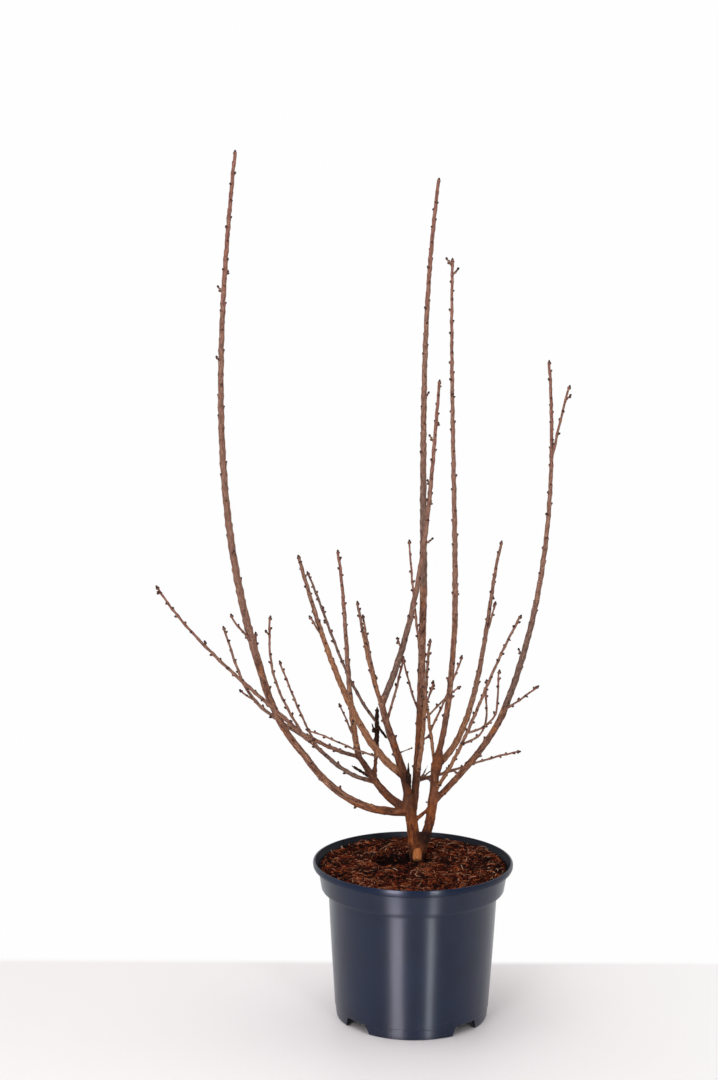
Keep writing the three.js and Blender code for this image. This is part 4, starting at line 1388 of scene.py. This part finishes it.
bough_nodes = {}
for count, name in enumerate(BOUGHS):
    bough_nodes[name] = nodes_on(name, seeded(FIRST_SEED + 50 + count), BOUGH_PITCH)
bough_nodes.update({name: [] for name in STEMS + SLEEVED})
print("places on the limbs' lines:", len(axis_points))

# %% Rule of the relief
OLDEST_BELOW = 180
YOUNG_ABOVE = 228
YOUNG_SHARE = 0.12
KNOB_HEIGHT = 0.95
KNOB_WIDTH = 1.9
# Without a seed, Blender shifts its vector noise by the clock, and the bark differs in every run.
noise.seed_set(FIRST_SEED)


def bark_push(name, distance, turn, radius, place):
    """How far the bark stands out of its smooth skin, in mm, and how deep its splits are."""
    number = LIMBS[name]["thread"]
    run = distance + LIMBS[name]["run"]
    cosine, sine = math.cos(turn), math.sin(turn)
    age = YOUNG_SHARE + (1 - YOUNG_SHARE) * eased(-place.z, -YOUNG_ABOVE, -OLDEST_BELOW)
    spot = Vector((cosine * 1.5 + number * 7.7, sine * 1.5, run / 9)) + noise.noise_vector(place * 0.2) * 0.6
    (near, next_near, *_), corners = noise.voronoi(spot)
    plate = noise.noise(corners[0] * 5.3)
    split = max(0.0, 1 - (next_near - near) / 0.14)
    lines = noise.noise(Vector((cosine * 4.2 + number, sine * 4.2, run / 9)))
    bands = noise.noise(Vector((number, cosine * 0.7 + sine * 0.4, run / 1.7)))
    fine = noise.noise(place * 0.9) * 0.6 + noise.noise(place * 2.1) * 0.3
    rough = min(1.0, radius / 3.2)
    push = age * (0.42 * plate - 0.42 * split ** 2) + (0.16 + 0.12 * age) * lines * rough
    push += rough * (0.08 * bands + 0.16 * fine + 0.30 * noise.noise(place * 0.17))
    for node in bough_nodes[name]:
        gap = distance - node["distance"]
        if abs(gap) < 6:
            round_gap = math.remainder(turn - node["angle"], 2 * math.pi) * radius
            push += KNOB_HEIGHT * math.exp(-((gap / KNOB_WIDTH) ** 2) - (round_gap / KNOB_WIDTH) ** 2)
            push += 0.16 * math.exp(-((gap / 1.0) ** 2))
    return push, age * (plate * 0.4 - split)


print("oldest bark below", OLDEST_BELOW, "mm")

# %% Relief of the bark
bark_mesh = bark.data
count = len(bark_mesh.vertices)
places, normals = np.empty(count * 3), np.empty(count * 3)
bark_mesh.vertices.foreach_get("co", places)
bark_mesh.vertices.foreach_get("normal", normals)
places = places.reshape(-1, 3) / MM
normals = normals.reshape(-1, 3)
spaces = np.empty((count, 3))
reliefs = np.zeros((count, 3))
pushes = np.empty(count)
threads = np.empty(count, dtype=int)
for index in range(count):
    place = Vector(places[index])
    _, nearest, _ = axis_tree.find(place)
    name, distance, first, second, radius = axis_facts[nearest]
    away = places[index] - axis_points[nearest]
    turn = math.atan2(float(away @ second), float(away @ first))
    pushes[index], reliefs[index, 0] = bark_push(name, distance, turn, radius, place)
    spaces[index] = (math.cos(turn) * radius, math.sin(turn) * radius, bark_run(name, distance))
    threads[index] = LIMBS[name]["thread"]
print("vertices on limbs:", count)

# %% Seams of the bark
SEAM_RINGS = 6
SEAM_FADE = 0.16
SMOOTHINGS = 10
RELIEF_DEPTH = 1.25
SKIN_BOTTOM = GROUND_CUT - 9.0
edges = np.empty(len(bark_mesh.edges) * 2, dtype=np.int32)
bark_mesh.edges.foreach_get("vertices", edges)
edges = edges.reshape(-1, 2)
joined = np.bincount(edges.ravel(), minlength=count)
one_end, other_end = edges[:, 0], edges[:, 1]
seam = np.zeros(count)
seam[edges[threads[one_end] != threads[other_end]].ravel()] = 1.0
for _ in range(SEAM_RINGS):
    spread = seam.copy()
    np.maximum.at(spread, one_end, seam[other_end] - SEAM_FADE)
    np.maximum.at(spread, other_end, seam[one_end] - SEAM_FADE)
    seam = spread
reliefs[:, 1] = seam
for step in range(SMOOTHINGS):
    around = np.bincount(one_end, pushes[other_end], count)
    around += np.bincount(other_end, pushes[one_end], count)
    share = np.where(step < 2, np.maximum(seam * 0.9, 0.5), seam * 0.9)
    pushes = (1 - share) * pushes + share * around / np.maximum(joined, 1)
places += normals * pushes[:, None] * RELIEF_DEPTH
places[:, 2] = np.maximum(places[:, 2], SKIN_BOTTOM)
bark_mesh.vertices.foreach_set("co", (places * MM).ravel())
give_attribute(bark_mesh, "limb_space", spaces)
give_attribute(bark_mesh, "relief", reliefs)
bark_mesh.update()
smooth(bark)
OLD_NODES = ["trunk", "bough_left_low", "bough_left_rise", "bough_left_fork", "bough_middle"]
OLD_NODES += ["bough_centre", "bough_right", "bough_right_inner", "bough_right_arc"]
finish_piece(bark, OLD_NODES, [old_bark])

# %% [markdown]
# ## One bud, modelled once
# A winter bud of this bush is a small egg with a sharp tip, wrapped in overlapping scales. It is
# a sphere drawn out to a point, with its rings pushed in and out so that the edges of the
# scales catch the light. It has only a few dozen faces, because some hundreds of copies follow.

# %% Master bud
start_clean()
BUD_RING_SIDES = 8
bpy.ops.mesh.primitive_uv_sphere_add(segments=BUD_RING_SIDES, ring_count=9, radius=0.5)
bud = bpy.context.object
bud.name = "master_bud"
bud.location.z = 0.42
place_in_mesh(bud)
bpy.ops.object.mode_set(mode="EDIT")
bpy.ops.mesh.select_all(action="SELECT")
bpy.ops.mesh.quads_convert_to_tris()
bpy.ops.object.mode_set(mode="OBJECT")
SCALE_EDGES = (0.30, 0.52, 0.72)
bud_points = []
for vertex in bud.data.vertices:
    x, y, z = vertex.co
    part = z + 0.08
    turn = math.atan2(y, x)
    girth = math.hypot(x, y) * (1 - 0.16 * max(0.0, part - 0.5) / 0.5)
    for order, edge in enumerate(SCALE_EDGES):
        line = edge + 0.07 * math.cos(2 * turn + order * 2.1)
        girth *= 1 + 0.13 * math.exp(-(((part - line) / 0.07) ** 2))
    drawn = z * (1.0 + 0.10 * max(0.0, part - 0.8))
    bud_points.append((girth * math.cos(turn), girth * math.sin(turn), drawn))
bud_points = np.array(bud_points)
bud_triangles = np.array([face.vertices[:] for face in bud.data.polygons])
BUD_DEALS = {
    "brown": np.where(bud_points[bud_triangles].mean(axis=1)[:, 2] > 0.52, 0, 1),
    "dark": np.zeros(len(bud_triangles), dtype=int),
}
bpy.data.objects.remove(bud)
print("bud triangles:", len(bud_triangles))

# %% [markdown]
# ## Whips, spurs and buds
# Every whip is a tube of many thin rings, so that it can swell under each bud and step aside a
# little from node to node as real shoots do. The buds are copies of the one above, each with its
# own size and lean, and some nodes carry two or three. Wood and buds are gathered apart, in three
# pieces of each kind: left, middle and right. A table deals each whip its bark at the foot, in
# the middle and at the tip, by number in the list of young finishes.

# %% Wood of a whip
TONES = {
    "left_whip": (1, 1, 3), "centre_whip": (0, 1, 3), "middle_whip": (0, 1, 3), "right_whip": (1, 1, 3),
    "arc_whip": (0, 1, 3), "front_left": (2, 2, 1), "back_left": (2, 1, 3), "right_back": (2, 1, 1),
    "stub_whip": (0, 0, 0), "low_sweep": (0, 0, 1), "low_sweep_tip": (0, 1, 1), "front_sweep": (0, 1, 1),
    "front_sweep_tip": (1, 1, 3), "middle_top": (2, 2, 1), "middle_twig": (2, 1, 1), "right_front": (2, 1, 1),
    "centre_low": (2, 2, 1), "centre_low_twig": (2, 1, 3), "right_thin": (2, 1, 3),
    "right_thin_low": (2, 1, 3),
}
USUAL_TONES = (1, 1, 3)
ZIGZAG = 0.42


def whip_swell(name, nodes):
    """The extra radius of a whip by distance and angle: a cushion under each bud, and fine lumps."""
    entry = LIMBS[name]

    def swell(distance, turn):
        extra = 0.05 * np.sin(distance * 0.9 + 3 * np.cos(turn) + entry["number"])
        extra = extra + 0.035 * np.sin(distance * 2.3 + 2 * np.sin(turn * 2))
        radius = radius_at(name, distance)
        for node in nodes:
            gap = distance - node["distance"]
            reach = np.where(gap > 0, 1.3, 2.9)
            near = np.exp(-((gap / reach) ** 2))
            facing = np.clip(np.cos(turn - node["angle"]), 0, 1) ** 1.5
            extra = extra + near * (0.08 * radius + (0.42 + 0.16 * radius) * facing)
        at_foot, at_tip = fullness(name, WHIP_FULLNESS)
        return extra + (at_foot + (at_tip - at_foot) * distance / entry["length"] - 1) * radius

    return swell


def shift_nodes(cloud, distances, nodes, sides, first, second):
    """Step the line of a whip aside at each node, away from its bud."""
    if not nodes:
        return cloud
    marks = [0.0] + [node["distance"] for node in nodes]
    aside = np.array([[0.0, 0.0]] + [
        [-math.cos(node["angle"]) * ZIGZAG, -math.sin(node["angle"]) * ZIGZAG] for node in nodes
    ])
    across = np.interp(distances, marks, aside[:, 0])[:, None] * first
    across = across + np.interp(distances, marks, aside[:, 1])[:, None] * second
    moved = cloud.copy()
    rings = len(distances)
    moved[: rings * sides] += np.repeat(across, sides, axis=0)
    moved[-2] += across[0]
    moved[-1] += across[-1]
    return moved


print("whips with their own tones:", len(TONES))

# %% A bud in its place
def place_bud(gathered, root, direction, length, width, spin, deal="brown"):
    """Add a copy of the master bud at a root, along a direction."""
    direction = direction / np.linalg.norm(direction)
    side = np.cross(direction, (0.31, 0.93, 0.17))
    side /= np.linalg.norm(side)
    other = np.cross(direction, side)
    cosine, sine = math.cos(spin), math.sin(spin)
    axes = np.stack([side * cosine + other * sine, other * cosine - side * sine, direction])
    shape = (bud_points * (width, width, length)) @ axes
    gathered.add(shape + root, bud_triangles, BUD_DEALS[deal])


print("ways to deal a bud:", len(BUD_DEALS))

# %% Dressing a limb and its nodes
def dress_limb(name, random, wood, twigs, buds, pitch):
    """Grow one whip: its wood, its spurs and its buds."""
    entry = LIMBS[name]
    nodes = nodes_on(name, random, pitch)
    sides = 14 if entry["widths"][0] > 4 else 10
    flare = 0.0 if name in SLEEVED else 0.22
    cloud, triangles, space, distances = limb_tube(name, 0.9, sides, whip_swell(name, nodes), 0.5, flare)
    _, _, first, second = along_limb(name, distances)
    cloud = shift_nodes(cloud, distances, nodes, sides, first, second)
    tones = TONES.get(name, USUAL_TONES)
    ring_of = np.minimum(triangles.min(axis=1) // sides, len(distances) - 1)
    side_of = triangles[:, 0] % sides
    streak = np.sin(ring_of * 0.83 + side_of * 2.1) * np.sin(ring_of * 0.29 + side_of * 1.3 + entry["number"])
    part = distances[ring_of] / entry["length"] + 0.09 * streak
    finish = np.select([part < 0.3, part < 0.72], [tones[0], tones[1]], tones[2])
    wood.add(cloud, triangles, finish, space)
    for node in nodes:
        dress_node(name, node, random, twigs, buds, tones[1])
    tip, heading, first, second = (values[0] for values in along_limb(name, [entry["length"]]))
    end_width = entry["widths"][1]
    place_bud(buds, tip - heading * 0.7, heading, 3.1, max(2.1, end_width * 1.1), random() * 6, "dark")
    for lean in (1, -1):
        off = first * lean * 0.8 + second * (random() - 0.5)
        place_bud(buds, tip - heading * 2.4 + off * 0.5, heading + off * 0.5, 2.8, 1.7, random() * 6)


def dress_node(name, node, random, twigs, buds, tone):
    """Put a bud, a small cluster or a short spur on one node."""
    point, heading, outward, radius = seat_of(name, node)
    across = np.cross(heading, outward)
    lean, spin, several = random(), random() * 6.28, random()
    direction = outward * (0.42 + 0.25 * lean) + heading * 0.85 + across * (lean - 0.5) * 0.3
    direction /= np.linalg.norm(direction)
    root = point + outward * (radius * BUD_SEAT + 0.1) - heading * 0.7
    if not is_clear(root + direction * BUD_LENGTH, BUD_WIDTH / 2, name):
        return
    if node["spur"]:
        reach = 4.0 + 4.5 * lean
        end = root + direction * reach
        if is_clear(end + direction * BUD_LENGTH, BUD_WIDTH / 2, name):
            twigs.add(*straight_tube(point, end, (2.1, 1.5), sides=8, steps=7), tone)
            place_bud(buds, end, direction, BUD_LENGTH * 0.9, 2.2, spin, "dark")
            for part, side in ((0.45, 1), (0.75, -1)):
                off = across * side * 0.75 + direction * 0.6
                place_bud(buds, root + direction * reach * part + across * side * 0.4, off, 2.6, 1.7, spin)
            return
    length = BUD_LENGTH * node["size"] * (0.8 + 0.2 * lean)
    width = BUD_WIDTH * node["size"] * 0.92
    place_bud(buds, root, direction, length, width, spin, "dark" if several < 0.2 else "brown")
    if several > 0.6:
        for side in (1, -1) if several > 0.85 else (1,):
            off = direction + across * side * 0.6 - heading * 0.15
            place_bud(buds, root + across * side * 0.7, off, length * 0.75, width * 0.75, spin)


print("dressing ready")

# %% Whips and buds
seed = FIRST_SEED
for side, masses in SIDES_OF_PLANT.items():
    wood, twigs, buds = Gatherer(), Gatherer(), Gatherer()
    for mass in masses:
        random = seeded(seed)
        seed += 1
        for name in MASSES[mass]:
            dress_limb(name, random, wood, twigs, buds, BUD_PITCH)
    finish_piece(wood.build("young_wood_" + side), masses, YOUNG)
    if twigs.count:
        finish_piece(twigs.build("short_spurs_" + side), masses, YOUNG)
    finish_piece(buds.build("winter_buds_" + side), masses, BUDS)

# %% Buds on the boughs
bough_buds = Gatherer()
for count, name in enumerate(BOUGHS):
    random = seeded(FIRST_SEED + 80 + count)
    for node in bough_nodes[name]:
        point, heading, outward, radius = seat_of(name, node)
        direction = outward * 0.8 + heading * 0.5
        root = point + outward * (radius + 0.25)
        if is_clear(root + direction * 3, BUD_WIDTH / 2, name):
            place_bud(bough_buds, root, direction, 2.9 * node["size"], 2.3 * node["size"], random() * 6)
finish_piece(bough_buds.build("buds_on_boughs"), OLD_NODES, BUDS)

# %% [markdown]
# ## Dead wood
# A dead stub stands on the left fork, and short broken snags show where the plant was cut back.
# Most are nearly black, a few are weathered to a paler grey-brown, and all are split along the
# grain and end in splinters. Each is a tapering tube with four short splinters at its end, all
# melted together and grooved lengthwise. The foot of the stub is still living wood, so it takes
# the old bark.

# %% Dead stub and snags
SNAGS = [
    (point_on("left_fork", 0.6), (-56, 22, 231), (3.4, 2.8, 2.4)),
    ((-4.0, 16, 208), (-5.0, 7, 230), (3.6, 5.0, 4.6, 2.4)),
    ((-4.8, 10, 219), (-5.0, 6, 238.5), (3.2, 2.4, 1.0)),
    ((-3.8, 13, 212), (-2.6, 8, 227), (2.6, 2.2, 0.8)),
    (point_on("middle", 0.5), (-12.2, 14, 247.2), (1.9, 1.5)),
    ((-12.4, 14, 247), (-2.2, 12, 251.6), (1.5, 1.2, 1.1, 1.7, 1.3)),
    (point_on("right", 0.46), (12, 9, 201), (2.4, 1.5, 1.2, 0.9)),
    ((-33.8, 37.5, 267), (-25.4, 20, 259.6), (3.2, 2.6, 2.4, 2.2, 2.2)),
    (point_on("centre", 0.17), (9.4, 20, 222.4), (3.4, 4.2, 3.8)),
    ((9.4, 20, 222.4), (16.0, 19, 228), (2.4, 1.4, 1.2, 1.0)),
    ((9.4, 20, 221.6), (16.2, 19, 223.8), (2.2, 1.5, 1.3, 1.1)),
    ((9.2, 21, 224), (13.2, 20, 232.5), (1.5, 0.8, 0.7)),
    ((-34.5, 38.5, 262.5), (-37.6, 37, 261.6), (3.6, 4.6, 4.2)),
    ((-37.4, 37, 262.5), (-38.6, 37, 268), (2.4, 1.2)),
    ((-34, 41, 272), (-34.4, 42, 283), (2.6, 1.4, 0.8)),
]
dead_wood = Gatherer()


def stub_swell(distance, turn):
    """The dead stub is thinner in its lower half and lumpy above."""
    waist = -0.55 * np.exp(-(((distance - 15) / 9) ** 2))
    return waist + 0.35 * np.exp(-(((distance - 31) / 8) ** 2)) + 0.25 * np.sin(distance * 0.9 + 2 * turn)


cloud, triangles, _, _ = limb_tube("dead_stub", 1.5, 14, stub_swell, before=0.5)
dead_wood.add(cloud, triangles, 0)
broken = draw.random((len(SNAGS) + 1, 4, 3))
ends = []
for start, tip, widths in SNAGS:
    dead_wood.add(*straight_tube(start, tip, widths, sides=10, steps=9), 0)
    ends.append((np.array(start, float), np.array(tip, float), widths[-1]))
stub_end = LIMBS["dead_stub"]["points"]
ends.append((stub_end[-20], stub_end[-1], LIMBS["dead_stub"]["widths"][1]))
for (start, tip, width), throws in zip(ends, broken):
    heading = (tip - start) / np.linalg.norm(tip - start)
    for throw in throws:
        off = (throw - 0.5) * width * 0.7
        end = tip + heading * (0.8 + 2.2 * throw[0]) * min(1.0, width / 2.5) + off * 0.6
        dead_wood.add(*straight_tube(tip - heading * 2 + off, end, (width * 0.5, 0.5), sides=6, steps=3), 0)
snags = dead_wood.build("dead_stub_and_snags")
melt(snags, 0.36, 2)
print("dead wood has", len(snags.data.vertices), "vertices")

# %% Grain of the dead wood
LIVING_BELOW = 249.0
dead_mesh = snags.data
marks = []
for vertex in dead_mesh.vertices:
    place = Vector(vertex.co) / MM
    grain_space = Vector((place.x * 1.1, place.y * 1.1, place.z * 0.16))
    groove = noise.noise(grain_space) * 0.6 + noise.noise(place * 0.9) * 0.25
    groove += noise.noise(place * 0.33) * 0.5
    marks.append((place.x, place.y, place.z))
    vertex.co += vertex.normal * groove * MM
give_attribute(dead_mesh, "limb_space", marks)
for face in dead_mesh.polygons:
    place = face.center / MM
    at_foot = place.z + 5 * noise.noise(place * 0.35) < LIVING_BELOW and -42 < place.x < -30
    pale = place.x > 5 or (place.z > 243 and -14 < place.x < 3)
    face.material_index = 1 if at_foot else 2 * int(pale)
smooth(snags)
finish_piece(snags, ["dead_stub"], [dead, old_bark, weathered])

# %% [markdown]
# ## The cut stub at the foot
# Low in front, where the two stems meet, a third stem was cut away long ago. Its wood has
# weathered to a warm tan, and its end is rounded by healing. A short cylinder is inset and drawn
# out ring by ring to round its end, then grooved along the grain.

# %% Cut stub
cut_wood = Finish("cut_wood", 0.75, specular=0.15)
cut_streak = cut_wood.noise(60.0, detail=5.0, roughness=0.65, source=cut_wood.stretched((9.0, 9.0, 2.4)))
cut_wood.paint(cut_wood.ramp(cut_streak, [
    (0.30, colour(108, 54, 24)), (0.5, colour(166, 96, 44)), (0.72, colour(198, 132, 72)),
]))
cut_wood.bump(cut_streak, 0.0006, 0.6)
STUB_FROM = Vector((4.5, 11.0, 158.0)) * MM
STUB_TO = Vector((4.0, 2.4, 147.6)) * MM
STUB_STEPS = ((0.5, 0.45), (0.6, 0.3), (0.8, 0.2), (0.9, 0.08), (0.7, -0.1))
start_clean()
stub_line = STUB_TO - STUB_FROM
bpy.ops.mesh.primitive_cylinder_add(vertices=28, radius=4.2 * MM, depth=stub_line.length)
stub = bpy.context.object
stub.name = "cut_stub"
pick_top(stub)
for inward, out in STUB_STEPS:
    bpy.ops.mesh.inset(thickness=inward * MM, depth=out * MM)
bpy.ops.mesh.poke()
bpy.ops.object.mode_set(mode="OBJECT")
apply_modifier(stub, "SUBSURF", levels=2, render_levels=2)
for vertex in stub.data.vertices:
    place = Vector(vertex.co) / MM
    push = 0.34 * noise.noise(Vector((place.x * 0.7, place.y * 0.7, place.z * 0.12)))
    push += 0.16 * noise.noise(place * 0.9)
    vertex.co += vertex.normal * push * MM
stub.location = (STUB_FROM + STUB_TO) / 2
stub.rotation_mode = "QUATERNION"
stub.rotation_quaternion = stub_line.to_track_quat("Z", "Y")
smooth(stub)
finish_piece(stub, ["trunk"], [cut_wood])
